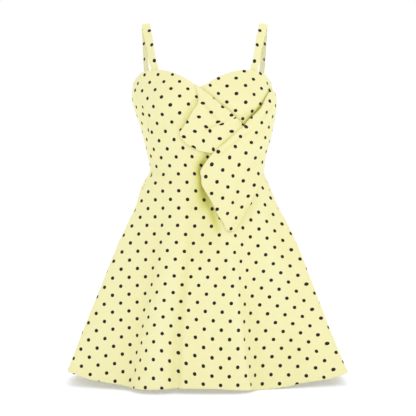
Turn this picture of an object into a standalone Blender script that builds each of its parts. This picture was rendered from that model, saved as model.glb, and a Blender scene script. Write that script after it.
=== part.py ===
"""A sleeveless a-line mini dress, worn, with a sweetheart neckline and a draped half bow.

The dress faces -Y and its wearer's left is +X. The origin lies midway between the tops of
the straps. The body is one surface of rings: a polar radius for each angle and height, where
angle 0 is the centre front, 90 the wearer's left and 180 the centre back. Every cut piece is
a stretch of that surface, or lies on it, and becomes a wall with Solidify. The tables are in
millimetres and degrees.
"""
import math
from typing import NamedTuple

import bpy
import numpy as np
from mathutils import Matrix

MM = 0.001
COLLECTION = "a_line_dress"

WALL = 1.5
SEAM_GAP = 0.4
LAID_GAP = 0.35
BOW_WALL = 1.6
STRAP_WALL = 1.6
TAPE_WALL = 0.8

WAIST_HEIGHT = -336.0
HEM_HEIGHT = -805.0
HEM_HALF_WIDTH = 320.0
HEM_BACK = 190.0
RING_SQUARENESS = 2.2
HEM_BACK_SQUARENESS = 2.4
WAIST_ROUNDING = 12.0
FOLD_GROWTH = 1.3

CUP_ANGLE = 38.0
CUP_HEIGHT = -184.0
CUP_DEPTH = 23.0
CUP_SPREAD = 20.0
CUP_RISE = 52.0
CUP_FALL = 42.0

NOTCH_ANGLE = -3.0
NOTCH_REACH = 60.0

BODICE_ROWS = 12
SKIRT_ROWS = 12
FRONT_COLUMNS = 28
SIDE_COLUMNS = 9
BACK_COLUMNS = 12
SETTLING_ROUNDS = 6

STRAP_MIDLINE = -1.0
STRAP_WIDTH = 19.5
STRAP_CROWN = 0.9
STRAP_STEPS = (-0.5, -0.27, 0, 0.27, 0.5)
STRAP_TUCK = 14.0
STRAP_GAP = 0.75
STRAP_CLEAR = 4.0
STRAP_FRONT_ANGLE = {"right": -60.3, "left": 64.7}
STRAP_BACK_ANGLE = {"right": -121, "left": 119}

TAPE_HALF_WIDTH = 11.0
TAPE_COLUMNS = 5
TAPE_SKIRT_ROWS = 5

SLIDER_HEIGHT = -181.0
SLIDER_WIDTH = 6.0
SLIDER_LENGTH = 11.0
SLIDER_PLATE = 1.6
CROWN_WIDTH = 2.2
CROWN_LENGTH = 6.0
CROWN_RISE = 3.0
CROWN_OVERLAP = 0.4
CROWN_EYE_RISE = 2.1
CROWN_EYE_LENGTH = 3.4

PULL_THICKNESS = 1.2
PULL_BAR = 0.5
PULL_SHOULDER_DROP = 1.5
PULL_EYE_DEPTH = 4.6
PULL_EYE_HALF_WIDTH = 1.8
PULL_NECK_HALF_WIDTH = 3.1
PULL_END_HALF_WIDTH = 3.8
PULL_LENGTH = 25.0
PULL_ROUNDING_STEPS = 8


class Ring(NamedTuple):
    """A level of the bodice; below the waist the skirt is added to the last rings."""

    height: float
    half_width: float
    front: float
    back: float
    shift: float


RINGS = (
    Ring(-100, 148, 82, 92, -6),
    Ring(-130, 156, 93, 99, -6),
    Ring(-160, 161, 99, 102, -6),
    Ring(-185, 159, 101, 101, -6),
    Ring(-210, 152, 100, 98, -5),
    Ring(-235, 145.5, 98, 94, -3),
    Ring(-276, 137.5, 95, 88, 0),
    Ring(-310, 132, 93, 85, 2.5),
    Ring(-336, 128, 92, 84, 3.5),
    Ring(-372, 132.5, 92, 84, 1.5),
    Ring(-415, 130.5, 92, 84, 4),
    Ring(-480, 140, 92, 84, 6),
    Ring(-590, 142, 92, 84, 5),
    Ring(-690, 140, 92, 84, 3),
    Ring(-805, 128, 92, 84, 5),
)


class HemPoint(NamedTuple):
    """Where the hem passes in front, seen from above: across, and forward of the side."""

    across: float
    forward: float


HEM_LINE = (
    HemPoint(-320, 0),
    HemPoint(-319, 50),
    HemPoint(-316, 93),
    HemPoint(-302, 99),
    HemPoint(-264, 112),
    HemPoint(-232, 123),
    HemPoint(-213, 129),
    HemPoint(-193, 136),
    HemPoint(-179, 142),
    HemPoint(-170, 150),
    HemPoint(-163, 162),
    HemPoint(-155, 174),
    HemPoint(-144, 184),
    HemPoint(-124, 190),
    HemPoint(-102, 191),
    HemPoint(-81, 188),
    HemPoint(-52, 187),
    HemPoint(-15, 188),
    HemPoint(28, 188),
    HemPoint(61, 187),
    HemPoint(78, 181),
    HemPoint(92, 171),
    HemPoint(101, 156),
    HemPoint(110, 143),
    HemPoint(121, 135),
    HemPoint(139, 129),
    HemPoint(184, 120),
    HemPoint(216, 112),
    HemPoint(248, 103),
    HemPoint(283, 93),
    HemPoint(318.5, 84),
    HemPoint(321, 45),
    HemPoint(320, 0),
)


class Fold(NamedTuple):
    """A lobe (positive depth) or trough of the skirt, growing from its start to the hem."""

    angle: float
    start: float
    depth: float
    spread: float


FOLDS = (
    Fold(-20.5, -560, -9, 2.8),
    Fold(108, -420, -13, 6),
    Fold(124, -400, 13, 7),
    Fold(143, -470, -16, 4.5),
    Fold(160, -430, 13, 8),
    Fold(180, -560, -8, 8),
    Fold(-161, -430, 11, 8),
    Fold(-145, -450, -15, 4.5),
    Fold(-127, -420, 12, 7),
    Fold(-107, -400, -12, 6),
)


class Edge(NamedTuple):
    """The height of the dress's top or bottom edge at an angle."""

    angle: float
    height: float


TOP_EDGE = (
    Edge(0, -147),
    Edge(10, -138),
    Edge(21, -126),
    Edge(33, -117),
    Edge(46, -110),
    Edge(56, -108),
    Edge(66, -110),
    Edge(76, -119),
    Edge(84, -137),
    Edge(92, -154),
    Edge(104, -164),
    Edge(120, -168),
    Edge(150, -168),
    Edge(180, -169),
)


HEM_EDGE = (
    Edge(-180, -804),
    Edge(-150, -803),
    Edge(-120, -801),
    Edge(-100, -799),
    Edge(-86, -796),
    Edge(-74, -789),
    Edge(-71, -794),
    Edge(-67, -801),
    Edge(-62, -804.5),
    Edge(-55, -808.5),
    Edge(-48, -811),
    Edge(-42, -810),
    Edge(-35, -809.5),
    Edge(-28, -808.5),
    Edge(-20, -808),
    Edge(-10, -807.5),
    Edge(8, -808.5),
    Edge(18, -810.5),
    Edge(28, -814),
    Edge(37, -818),
    Edge(47, -818.5),
    Edge(57, -814),
    Edge(62.5, -808.5),
    Edge(67.5, -805.5),
    Edge(72, -801.5),
    Edge(75, -794),
    Edge(86, -796),
    Edge(100, -799),
    Edge(120, -801),
    Edge(150, -803),
    Edge(180, -804),
)


class Seam(NamedTuple):
    """The angles of the front and the back seam of a side panel at a height."""

    height: float
    front: float
    back: float


SEAMS = (
    Seam(-110, 80, 113),
    Seam(-159, 74, 113),
    Seam(-195, 66, 112),
    Seam(-229, 66, 111),
    Seam(-263, 68, 110),
    Seam(-300, 70, 109),
    Seam(-337, 74, 108),
    Seam(-400, 77.5, 108),
    Seam(-805, 82, 110),
)


class StrapRow(NamedTuple):
    """A section of the strap between its tucked ends, for the wearer's left shoulder."""

    across: float
    depth: float
    height: float
    turn: float


STRAP_ROWS = (
    StrapRow(116.5, -56, -90, 33),
    StrapRow(120.3, -48, -66, 39),
    StrapRow(124.5, -38, -44, 33),
    StrapRow(129, -27, -25, 22),
    StrapRow(132.3, -15, -10.5, 13),
    StrapRow(133.6, -3, -3.4, 8),
    StrapRow(134, 9, -4.4, 9),
    StrapRow(134.8, 23, -13, 24),
    StrapRow(136, 37, -35, 44),
    StrapRow(136.3, 49, -60, 55),
    StrapRow(135.8, 58, -88, 60),
    StrapRow(133, 64, -116, 57),
    StrapRow(128.5, 68, -140, 48),
)
STRAP_FRONT_BASE = (115.0, -60.0)
STRAP_BACK_BASE = (123.0, 70.0)


class Rib(NamedTuple):
    """A line across a draped piece and its lift off the body, from edge to edge."""

    left_angle: float
    left_height: float
    right_angle: float
    right_height: float
    left_lift: float
    middle_lift: float
    side_lift: float
    right_lift: float


BOW_LOOP = (
    Rib(-9.5, -143, -4, -147, 1.5, 1.7, 1.7, 1.5),
    Rib(-6, -158, 3, -156, 2.2, 3.4, 3.4, 2.6),
    Rib(-4, -171, 11, -168, 4.0, 5.4, 5.4, 4.2),
    Rib(-5, -184, 20, -185, 4.6, 6.2, 6.2, 4.6),
    Rib(-11, -199, 27, -198, 4.6, 6.2, 6.2, 4.6),
    Rib(-18, -220, 34, -212, 4.8, 5.6, 5.6, 4.6),
    Rib(-25, -238, 41, -224, 4.8, 5.4, 5.4, 4.4),
    Rib(-29, -249, 47, -234, 4.6, 5.4, 5.0, 4.0),
    Rib(-26, -264, 50, -245, 4.6, 5.4, 4.6, 1.5),
    Rib(-20, -275, 47, -260, 4.6, 5.2, 4.6, 1.5),
    Rib(-6, -288, 36, -278, 4.4, 4.8, 4.0, 1.5),
    Rib(10, -294, 25, -292, 3.0, 2.4, 2.0, 1.5),
)

BOW_BAND = (
    Rib(76.5, -154, 106, -172, 4.0, 5.5, 6.0, 1.5),
    Rib(69, -170, 106, -186, 6.0, 9.0, 11.5, 1.5),
    Rib(62, -194, 106, -206, 7.0, 12.0, 14.0, 1.5),
    Rib(51, -216, 106, -226, 8.0, 12.5, 14.0, 1.5),
    Rib(46.5, -232, 106, -246, 9.0, 12.5, 13.0, 1.5),
    Rib(39, -248, 105, -264, 9.2, 12.0, 11.5, 1.5),
    Rib(31.5, -264, 104, -281, 9.2, 11.5, 9.0, 1.5),
    Rib(22, -279, 103, -297, 9.0, 10.5, 6.0, 1.5),
    Rib(12, -294, 101, -311, 8.5, 9.5, 4.0, 1.7),
    Rib(3, -311, 98, -323, 8.0, 8.5, 3.2, 2.0),
    Rib(-4, -327, 90, -332, 8.0, 8.0, 3.0, 2.2),
    Rib(-6, -337, 78.5, -338, 8.5, 7.5, 3.2, 2.6),
    Rib(-4, -349, 70, -350, 9.5, 8.0, 4.0, 3.0),
    Rib(-2.5, -365, 62.5, -370, 10.0, 8.5, 5.0, 4.0),
    Rib(3, -383, 55.5, -390, 10.0, 8.5, 5.5, 4.5),
    Rib(8, -402, 48.5, -411, 9.5, 8.5, 6.0, 5.0),
    Rib(11.5, -420, 41.5, -430, 9.0, 8.0, 6.0, 5.0),
    Rib(15, -437, 34, -449, 8.0, 7.5, 6.0, 5.0),
    Rib(18, -449, 29, -460, 6.5, 6.5, 6.0, 5.0),
    Rib(20.5, -466, 24.5, -468, 5.5, 5.5, 5.5, 5.0),
)

LOOP_COLUMNS = (0, 0.05, 0.14, 0.28, 0.42, 0.56, 0.7, 0.84, 0.95, 1)
BAND_COLUMNS = (0, 0.04, 0.12, 0.25, 0.4, 0.55, 0.7, 0.82, 0.92, 1)
EDGE_ROLL = 0.16
EASE_START = 0.3

CLOTH_COLOUR = (0.905, 0.866, 0.466, 1)
TAPE_COLOUR = (0.88, 0.85, 0.55, 1)
LACQUER_COLOUR = (0.82, 0.78, 0.42, 1)
CLOTH_FINISH = (0.8, 0.0)
LACQUER_FINISH = (0.35, 0.6)


def column(table, name):
    """Returns one named column of a table as an array."""
    return np.array([getattr(row, name) for row in table], float)


def smooth_through(keys, values, at):
    """Reads a smooth curve through given values at any place between its keys."""
    if keys[0] > keys[-1]:
        keys = keys[::-1]
        values = values[::-1]
    slopes = np.gradient(values, keys)
    at = np.clip(np.asarray(at, float), keys[0], keys[-1])
    row = np.clip(np.searchsorted(keys, at) - 1, 0, len(keys) - 2)
    gap = keys[row + 1] - keys[row]
    t = (at - keys[row]) / gap
    rising = t * t * (3 - 2 * t)
    start_slope = t * (1 - t) ** 2 * gap * slopes[row]
    end_slope = t * t * (t - 1) * gap * slopes[row + 1]
    return (1 - rising) * values[row] + rising * values[row + 1] + start_slope + end_slope


def along(table, key, name, at):
    """Reads a table's column at any value of its key column."""
    return smooth_through(column(table, key), column(table, name), at)


def oval_radius(angle, half_width, front, back, squareness):
    """Returns the polar radius of an oval whose front and back depths may differ."""
    turn = np.radians(angle)
    depth = np.where(np.cos(turn) > 0, front, back)
    sideways = np.abs(np.sin(turn) / half_width) ** squareness
    forwards = np.abs(np.cos(turn) / depth) ** squareness
    return (sideways + forwards) ** (-1 / squareness)


def cup_lift(angle, height):
    """Returns how far the cups stand out from the plain ring."""
    rise = height - CUP_HEIGHT
    reach = np.where(rise > 0, CUP_RISE, CUP_FALL)
    away = (np.abs(angle) - CUP_ANGLE) / CUP_SPREAD
    return CUP_DEPTH * np.exp(-(away**2) - (rise / reach) ** 2)


def hem_radius(angle):
    """Returns the polar radius of the hem, through its table in front and an oval behind."""
    across = column(HEM_LINE, "across")
    forward = column(HEM_LINE, "forward")
    turns = np.degrees(np.arctan2(across, forward))
    in_front = smooth_through(turns, np.hypot(across, forward), angle)
    behind = oval_radius(angle, HEM_HALF_WIDTH, HEM_BACK, HEM_BACK, HEM_BACK_SQUARENESS)
    return np.where(np.cos(np.radians(angle)) > 0, in_front, behind)


def skirt_lift(angle, height, waist_radius):
    """Returns how far the flared skirt and its folds stand out from the waist's ring."""
    fall = (WAIST_HEIGHT - height) / (WAIST_HEIGHT - HEM_HEIGHT)
    rounding = WAIST_ROUNDING / (WAIST_HEIGHT - HEM_HEIGHT)
    fall = (fall + np.sqrt(fall**2 + rounding**2)) / 2
    lift = (hem_radius(angle) - waist_radius) * fall
    for fold in FOLDS:
        away = (angle - fold.angle + 180) % 360 - 180
        grown = np.clip((fold.start - height) / (fold.start - HEM_HEIGHT), 0, None)
        lift = lift + fold.depth * grown**FOLD_GROWTH * np.exp(-((away / fold.spread) ** 2))
    return lift


def radius(angle, height):
    """Returns the polar radius of the cloth's outer face."""
    half_width = along(RINGS, "height", "half_width", height)
    front = along(RINGS, "height", "front", height)
    back = along(RINGS, "height", "back", height)
    plain = oval_radius(angle, half_width, front, back, RING_SQUARENESS)
    return plain + cup_lift(angle, height) + skirt_lift(angle, height, plain)


def surface(angle, height):
    """Returns points of the cloth's outer face, in millimetres."""
    angle = np.asarray(angle, float)
    height = np.asarray(height, float)
    reach = radius(angle, height)
    turn = np.radians(angle)
    x = along(RINGS, "height", "shift", height) + reach * np.sin(turn)
    return np.stack([x, -reach * np.cos(turn), height + 0 * x], axis=-1)


def outward(angle, height):
    """Returns the unit normals of the cloth's outer face."""
    step = 0.5
    around = surface(angle + step, height) - surface(angle - step, height)
    upward = surface(angle, height + step) - surface(angle, height - step)
    normal = np.cross(around, upward)
    return normal / np.linalg.norm(normal, axis=-1, keepdims=True)


def lifted(angle, height, lift):
    """Returns points that far off the cloth's outer face."""
    return surface(angle, height) + outward(angle, height) * np.asarray(lift)[..., None]


def top_height(angle):
    """Returns the height of the bodice's top edge; its table runs from the notch."""
    nearness = np.clip(1 - np.abs(angle) / NOTCH_REACH, 0, 1)
    return along(TOP_EDGE, "angle", "height", np.abs(angle - NOTCH_ANGLE * nearness))


def row_height(row, angle):
    """Returns the height of a grid row: bodice rows, then skirt rows."""
    top = top_height(angle)
    if row <= BODICE_ROWS:
        return top + (WAIST_HEIGHT - top) * row / BODICE_ROWS
    below = (row - BODICE_ROWS) / SKIRT_ROWS
    hem = along(HEM_EDGE, "angle", "height", angle)
    return WAIST_HEIGHT + (hem - WAIST_HEIGHT) * below


def panel_grid(sides, fractions, gap=SEAM_GAP):
    """Returns the rows of points of a cut panel.

    sides gives two functions of the height, each a seam's angle, and fractions the place of
    each column between the seams, from 0 to 1, as a function of the seams' angles.
    """
    rows = []
    for row in range(BODICE_ROWS + SKIRT_ROWS + 1):
        angle = fractions(sides[0](WAIST_HEIGHT), sides[1](WAIST_HEIGHT))
        for _ in range(SETTLING_ROUNDS):
            height = row_height(row, angle)
            low = sides[0](height)
            high = sides[1](height)
            inset = np.degrees(gap / 2 / radius(angle, height))
            angle = fractions(low + inset, high - inset)
        rows.append(surface(angle, row_height(row, angle)))
    return np.array(rows)


def evenly(count):
    """Returns a function that spreads columns evenly between two seams."""
    steps = np.linspace(0, 1, count + 1)
    return lambda low, high: low + (high - low) * steps


def through_notch(low, high):
    """Spreads columns from one seam to the notch and from the notch to the other seam."""
    steps = np.linspace(0, 1, FRONT_COLUMNS + 1)
    low = np.broadcast_to(low, (2 * FRONT_COLUMNS + 1,))
    high = np.broadcast_to(high, (2 * FRONT_COLUMNS + 1,))
    first = low[: FRONT_COLUMNS + 1] * (1 - steps) + NOTCH_ANGLE * steps
    second = NOTCH_ANGLE * (1 - steps) + high[FRONT_COLUMNS:] * steps
    return np.concatenate([first, second[1:]])


def seam_angle(name, side):
    """Returns a function that gives a seam's angle at a height, on one side."""
    return lambda height: side * along(SEAMS, "height", name, height)


def new_material(name, colour, roughness, metallic):
    """Returns a Principled material."""
    material = bpy.data.materials.new(name)
    material.use_nodes = True
    shader = material.node_tree.nodes["Principled BSDF"]
    shader.inputs["Base Color"].default_value = colour
    shader.inputs["Roughness"].default_value = roughness
    shader.inputs["Metallic"].default_value = metallic
    material.diffuse_color = colour
    return material


def clear_scene():
    """Removes whatever the scene holds."""
    for obj in list(bpy.data.objects):
        bpy.data.objects.remove(obj, do_unlink=True)


def new_collection(name, hidden=False):
    """Returns a new collection in the scene."""
    collection = bpy.data.collections.new(name)
    collection.hide_render = hidden
    bpy.context.scene.collection.children.link(collection)
    return collection


def add_object(name, data, collection, colour, finish=CLOTH_FINISH):
    """Adds a mesh or curve to a collection with a material of its own."""
    obj = bpy.data.objects.new(name, data)
    data.materials.append(new_material(name, colour, *finish))
    collection.objects.link(obj)
    return obj


def grid_faces(rows, columns):
    """Returns the quads of a grid of points, facing out when columns run to the left."""
    faces = []
    for row in range(rows - 1):
        for col in range(columns - 1):
            corner = row * columns + col
            faces.append((corner, corner + columns, corner + columns + 1, corner + 1))
    return faces


def add_wall(name, grid, thickness, offset, collection, colour=CLOTH_COLOUR):
    """Adds an open sheet through a grid of points and gives it a wall.

    offset is -1 for a wall inside the points, 0 for one on both sides of them.
    """
    rows, columns = grid.shape[:2]
    mesh = bpy.data.meshes.new(name)
    mesh.from_pydata((grid.reshape(-1, 3) * MM).tolist(), [], grid_faces(rows, columns))
    mesh.shade_smooth()
    obj = add_object(name, mesh, collection, colour)
    solidify = obj.modifiers.new("Wall", "SOLIDIFY")
    solidify.thickness = thickness * MM
    solidify.offset = offset
    return obj


def build_panels(collection):
    """Adds the five cut panels of the dress."""
    front_sides = (seam_angle("front", -1), seam_angle("front", 1))
    add_wall("front", panel_grid(front_sides, through_notch), WALL, -1, collection)
    side_columns = evenly(SIDE_COLUMNS)
    back_columns = evenly(BACK_COLUMNS)
    right_side = (seam_angle("back", -1), seam_angle("front", -1))
    left_side = (seam_angle("front", 1), seam_angle("back", 1))
    right_back = (lambda height: -180 + 0 * height, seam_angle("back", -1))
    left_back = (seam_angle("back", 1), lambda height: 180 + 0 * height)
    add_wall("side_right", panel_grid(right_side, side_columns), WALL, -1, collection)
    add_wall("side_left", panel_grid(left_side, side_columns), WALL, -1, collection)
    add_wall("back_right", panel_grid(right_back, back_columns), WALL, -1, collection)
    add_wall("back_left", panel_grid(left_back, back_columns), WALL, -1, collection)


def strap_section():
    """Returns the offsets (sideways, outward) across a strap, from its outer edge inward."""
    return [(STRAP_WIDTH * step, STRAP_CROWN * (1 - 4 * step**2)) for step in STRAP_STEPS]


def tucked_row(angle, height, side):
    """Returns a strap section that lies flat just inside a panel."""
    inset = -(WALL + STRAP_GAP + STRAP_WALL / 2)
    offsets = np.array([point[0] for point in strap_section()])
    half_degree = 0.5
    edges = surface(np.array([angle - half_degree, angle + half_degree]), height)
    reach = np.linalg.norm(edges[1] - edges[0])
    inwards = -side if abs(angle) < 90 else side
    angles = angle + inwards * offsets / reach
    return lifted(angles, np.full(angles.shape, height), np.full(angles.shape, inset))


def strap_places(front_base, back_base, side):
    """Returns the middles of the free sections, drawn towards where the strap is sewn on."""
    places = []
    for row in STRAP_ROWS:
        place = np.array([row.across * side + STRAP_MIDLINE, row.depth, row.height])
        in_front = row.depth < 0
        base = front_base if in_front else back_base
        plain = STRAP_FRONT_BASE if in_front else STRAP_BACK_BASE
        nearness = (row.height / base[2]) ** 2
        away = base[:2] - np.array([plain[0] * side + STRAP_MIDLINE, plain[1]])
        place[:2] += away * nearness
        places.append(place)
    return np.array(places)


def free_row(row, centre, ahead, side):
    """Returns a strap section in the air, square to the strap's run."""
    out_of_plane = np.array([side, 0.0, 0.0])
    level = np.cross(ahead, out_of_plane)
    level = level / np.linalg.norm(level)
    if level[2] < 0:
        level = -level
    turn = math.radians(row.turn)
    outwards = np.cross(level, ahead)
    outwards = outwards * np.sign(outwards[0] * side)
    normal = level * math.cos(turn) + outwards * math.sin(turn)
    inwards = level * math.sin(turn) - outwards * math.cos(turn)
    return np.array([centre + inwards * u + normal * w for u, w in strap_section()])


def strap_grid(name):
    """Returns the sections of one strap from inside the front to inside the back."""
    side = 1 if name == "left" else -1
    front_angle = STRAP_FRONT_ANGLE[name]
    back_angle = STRAP_BACK_ANGLE[name]
    front_top = float(top_height(front_angle))
    back_top = float(top_height(back_angle))
    rows = [tucked_row(front_angle, front_top - STRAP_TUCK, side)]
    rows.append(tucked_row(front_angle, front_top - STRAP_TUCK / 2, side))
    rows.append(tucked_row(front_angle, front_top + STRAP_CLEAR, side))
    places = strap_places(surface(front_angle, front_top), surface(back_angle, back_top), side)
    for row, place, run in zip(STRAP_ROWS, places, np.gradient(places, axis=0)):
        rows.append(free_row(row, place, run / np.linalg.norm(run), side))
    rows.append(tucked_row(back_angle, back_top + STRAP_CLEAR, side))
    rows.append(tucked_row(back_angle, back_top - STRAP_TUCK / 2, side))
    rows.append(tucked_row(back_angle, back_top - STRAP_TUCK, side))
    return np.array(rows)


def build_straps(collection):
    """Adds both shoulder straps."""
    for name in ("right", "left"):
        grid = strap_grid(name)
        if name == "right":
            grid = grid[:, ::-1]
        add_wall(f"strap_{name}", grid, STRAP_WALL, 0, collection)


def draped_grid(ribs, fractions):
    """Returns the points of a piece that lies on the body, one row for each rib."""
    across = np.array(fractions)[None, :]
    ends = {name: column(ribs, name)[:, None] for name in Rib._fields}
    angle = ends["left_angle"] * (1 - across) + ends["right_angle"] * across
    height = ends["left_height"] * (1 - across) + ends["right_height"] * across
    sideways = np.clip((across - EASE_START) / (1 - EDGE_ROLL - EASE_START), 0, 1)
    sideways = sideways**2 * (3 - 2 * sideways)
    lift = ends["middle_lift"] * (1 - sideways) + ends["side_lift"] * sideways
    left_roll = np.clip(1 - across / EDGE_ROLL, 0, 1) ** 2
    right_roll = np.clip(1 - (1 - across) / EDGE_ROLL, 0, 1) ** 2
    lift = lift * (1 - left_roll) + ends["left_lift"] * left_roll
    lift = lift * (1 - right_roll) + ends["right_lift"] * right_roll
    return lifted(angle, height, lift)


def build_bow(collection):
    """Adds the folded loop over the centre front and the band with its pointed tail."""
    loop = draped_grid(BOW_LOOP, LOOP_COLUMNS)
    add_wall("bow_loop", loop, BOW_WALL, 0, collection)
    band = draped_grid(BOW_BAND, BAND_COLUMNS)
    add_wall("bow_band", band, BOW_WALL, 0, collection)


def add_box(name, size, centre, collection):
    """Adds a box with its sizes applied."""
    bpy.ops.mesh.primitive_cube_add(size=1, location=np.array(centre) * MM)
    obj = bpy.context.object
    obj.name = name
    obj.data.transform(scaling(np.array(size) * MM))
    for other in list(obj.users_collection):
        other.objects.unlink(obj)
    collection.objects.link(obj)
    return obj


def scaling(sizes):
    """Returns a 4x4 matrix that scales by three sizes."""
    return Matrix.Diagonal((*sizes, 1))


def back_face(height, reach, half_width):
    """Returns how far back the centre-back seam's outer face reaches near a height."""
    samples = 9
    heights = np.linspace(height - reach, height + reach, samples)
    angle = 180 - math.degrees(half_width / float(radius(180.0, height)))
    return max(surface(180.0, heights)[:, 1].max(), surface(angle, heights)[:, 1].max())


def build_zip(collection, helpers):
    """Adds the concealed zip's tape, its slider and the slider's pull tab."""
    rows = range(BODICE_ROWS + TAPE_SKIRT_ROWS + 1)
    heights = np.array([row_height(row, 180.0) for row in rows])[:, None]
    reach = radius(180.0, heights)
    offsets = np.linspace(-TAPE_HALF_WIDTH, TAPE_HALF_WIDTH, TAPE_COLUMNS)[None, :]
    angles = 180 + np.degrees(offsets / reach)
    inset = np.full(angles.shape, -(WALL + LAID_GAP + TAPE_WALL / 2))
    tape = lifted(angles, heights + 0 * angles, inset)
    add_wall("zip_tape", tape, TAPE_WALL, 0, collection, TAPE_COLOUR)

    seam_x = float(along(RINGS, "height", "shift", SLIDER_HEIGHT))
    seat = back_face(SLIDER_HEIGHT, SLIDER_LENGTH / 2, SLIDER_WIDTH / 2) + LAID_GAP
    plate_y = seat + SLIDER_PLATE / 2
    size = (SLIDER_WIDTH, SLIDER_PLATE, SLIDER_LENGTH)
    slider = add_box("zip_slider", size, (seam_x, plate_y, SLIDER_HEIGHT), collection)
    slider.data.materials.append(new_material("zip_slider", LACQUER_COLOUR, *LACQUER_FINISH))
    top = seat + SLIDER_PLATE
    crown_size = (CROWN_WIDTH, CROWN_RISE + CROWN_OVERLAP, CROWN_LENGTH)
    crown_y = top + (CROWN_RISE - CROWN_OVERLAP) / 2
    crown = add_box("crown", crown_size, (seam_x, crown_y, SLIDER_HEIGHT), helpers)
    eye_size = (SLIDER_WIDTH, CROWN_EYE_RISE, CROWN_EYE_LENGTH)
    eye_y = top + CROWN_EYE_RISE / 2
    eye = add_box("crown_eye", eye_size, (seam_x, eye_y, SLIDER_HEIGHT), helpers)
    for helper, operation in ((crown, "UNION"), (eye, "DIFFERENCE")):
        helper.display_type = "WIRE"
        helper.hide_render = True
        boolean = slider.modifiers.new(helper.name, "BOOLEAN")
        boolean.operation = operation
        boolean.object = helper

    pull = add_object("zip_pull", pull_curve(), collection, LACQUER_COLOUR, LACQUER_FINISH)
    pull.rotation_euler = (math.radians(90), 0, 0)
    pull.location = np.array([seam_x, top + CROWN_EYE_RISE / 2, SLIDER_HEIGHT]) * MM


def pull_curve():
    """Returns the pull tab as a flat outline with an eye, hung from its bar at the origin."""
    curve = bpy.data.curves.new("zip_pull", "CURVE")
    curve.dimensions = "2D"
    curve.fill_mode = "BOTH"
    curve.extrude = PULL_THICKNESS / 2 * MM
    end = PULL_END_HALF_WIDTH
    foot = -(PULL_LENGTH - end)
    outline = [(PULL_NECK_HALF_WIDTH, PULL_BAR), (-PULL_NECK_HALF_WIDTH, PULL_BAR)]
    outline.append((-PULL_NECK_HALF_WIDTH, -PULL_EYE_DEPTH - PULL_SHOULDER_DROP))
    for step in range(PULL_ROUNDING_STEPS + 1):
        turn = math.pi * step / PULL_ROUNDING_STEPS
        outline.append((-end * math.cos(turn), foot - end * math.sin(turn)))
    outline.append((PULL_NECK_HALF_WIDTH, -PULL_EYE_DEPTH - PULL_SHOULDER_DROP))
    eye = [
        (PULL_EYE_HALF_WIDTH, -PULL_BAR),
        (-PULL_EYE_HALF_WIDTH, -PULL_BAR),
        (-PULL_EYE_HALF_WIDTH, -PULL_EYE_DEPTH),
        (PULL_EYE_HALF_WIDTH, -PULL_EYE_DEPTH),
    ]
    for points in (outline, eye):
        spline = curve.splines.new("POLY")
        spline.points.add(len(points) - 1)
        spline.use_cyclic_u = True
        for point, (x, y) in zip(spline.points, points):
            point.co = (x * MM, y * MM, 0, 1)
    return curve


def main():
    """Builds the dress from its cut pieces."""
    clear_scene()
    collection = new_collection(COLLECTION)
    helpers = new_collection("helpers", hidden=True)
    build_panels(collection)
    build_straps(collection)
    build_bow(collection)
    build_zip(collection, helpers)
    origin = bpy.data.objects.new("dress_origin", None)
    collection.objects.link(origin)
    for obj in list(collection.objects):
        if obj is not origin:
            obj.parent = origin


main()
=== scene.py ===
"""The looks of a worn a-line mini dress in polka-dot cotton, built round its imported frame.

The dress faces -Y and its wearer's left is +X. The cloth follows a worn form: a polar radius
for each angle and height, where angle 0 is the centre front, 90 the wearer's left and 180 the
centre back. Every cut piece is a fine grid on that form with folded edges, creases and a flat
pattern that carries its print. Tables and sizes on the form are in millimetres and degrees,
and meshes and shaders are in metres.
"""
import logging
import math
from dataclasses import dataclass
from enum import Enum
from typing import Iterable, NamedTuple, Sequence, Union

import bpy
import numpy as np
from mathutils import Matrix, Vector


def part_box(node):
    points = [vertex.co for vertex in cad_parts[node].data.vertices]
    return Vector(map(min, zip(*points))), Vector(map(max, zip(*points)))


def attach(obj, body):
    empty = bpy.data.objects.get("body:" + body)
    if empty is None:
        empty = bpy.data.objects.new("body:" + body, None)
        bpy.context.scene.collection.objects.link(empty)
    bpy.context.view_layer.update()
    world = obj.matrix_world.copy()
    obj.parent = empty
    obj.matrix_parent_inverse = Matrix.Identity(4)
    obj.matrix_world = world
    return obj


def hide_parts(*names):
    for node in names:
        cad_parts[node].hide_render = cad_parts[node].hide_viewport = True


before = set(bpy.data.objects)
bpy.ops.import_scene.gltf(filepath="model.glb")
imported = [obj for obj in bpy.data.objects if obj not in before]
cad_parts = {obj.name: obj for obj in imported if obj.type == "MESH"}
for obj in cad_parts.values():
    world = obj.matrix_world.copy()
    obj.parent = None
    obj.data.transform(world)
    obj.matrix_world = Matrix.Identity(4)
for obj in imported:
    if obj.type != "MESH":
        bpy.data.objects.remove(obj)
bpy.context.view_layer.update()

Array = np.ndarray
Colour = tuple[float, float, float, float]
Number = Union[float, "Value"]

MM = 0.001
TINY = 1e-9
PRINT_MAP = "cut"
# The mesh attribute that holds painted shade, and painted highlight below 0.
PAINTED_SHADE_ATTRIBUTE = "painted_shade"
LOG = logging.getLogger("dress")


# ---------------------------------------------------------------- the worn form


class Ring(NamedTuple):
    """A level of the bodice; below the waist the skirt is added to the last rings."""

    height: float
    half_width: float
    front: float
    back: float
    shift: float


RINGS = (
    Ring(-100, 148, 82, 92, -6),
    Ring(-130, 156, 93, 99, -6),
    Ring(-160, 161, 99, 102, -6),
    Ring(-185, 159, 101, 101, -6),
    Ring(-210, 152, 100, 98, -5),
    Ring(-235, 145.5, 98, 94, -3),
    Ring(-276, 137.5, 95, 88, 0),
    Ring(-310, 132, 93, 85, 2.5),
    Ring(-336, 128, 92, 84, 3.5),
    Ring(-372, 132.5, 92, 84, 1.5),
    Ring(-415, 130.5, 92, 84, 4),
    Ring(-480, 140, 92, 84, 6),
    Ring(-590, 142, 92, 84, 5),
    Ring(-690, 140, 92, 84, 3),
    Ring(-805, 128, 92, 84, 5),
)


class HemPoint(NamedTuple):
    """Where the hem passes in front, seen from above: across, and forward of the side."""

    across: float
    forward: float


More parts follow.
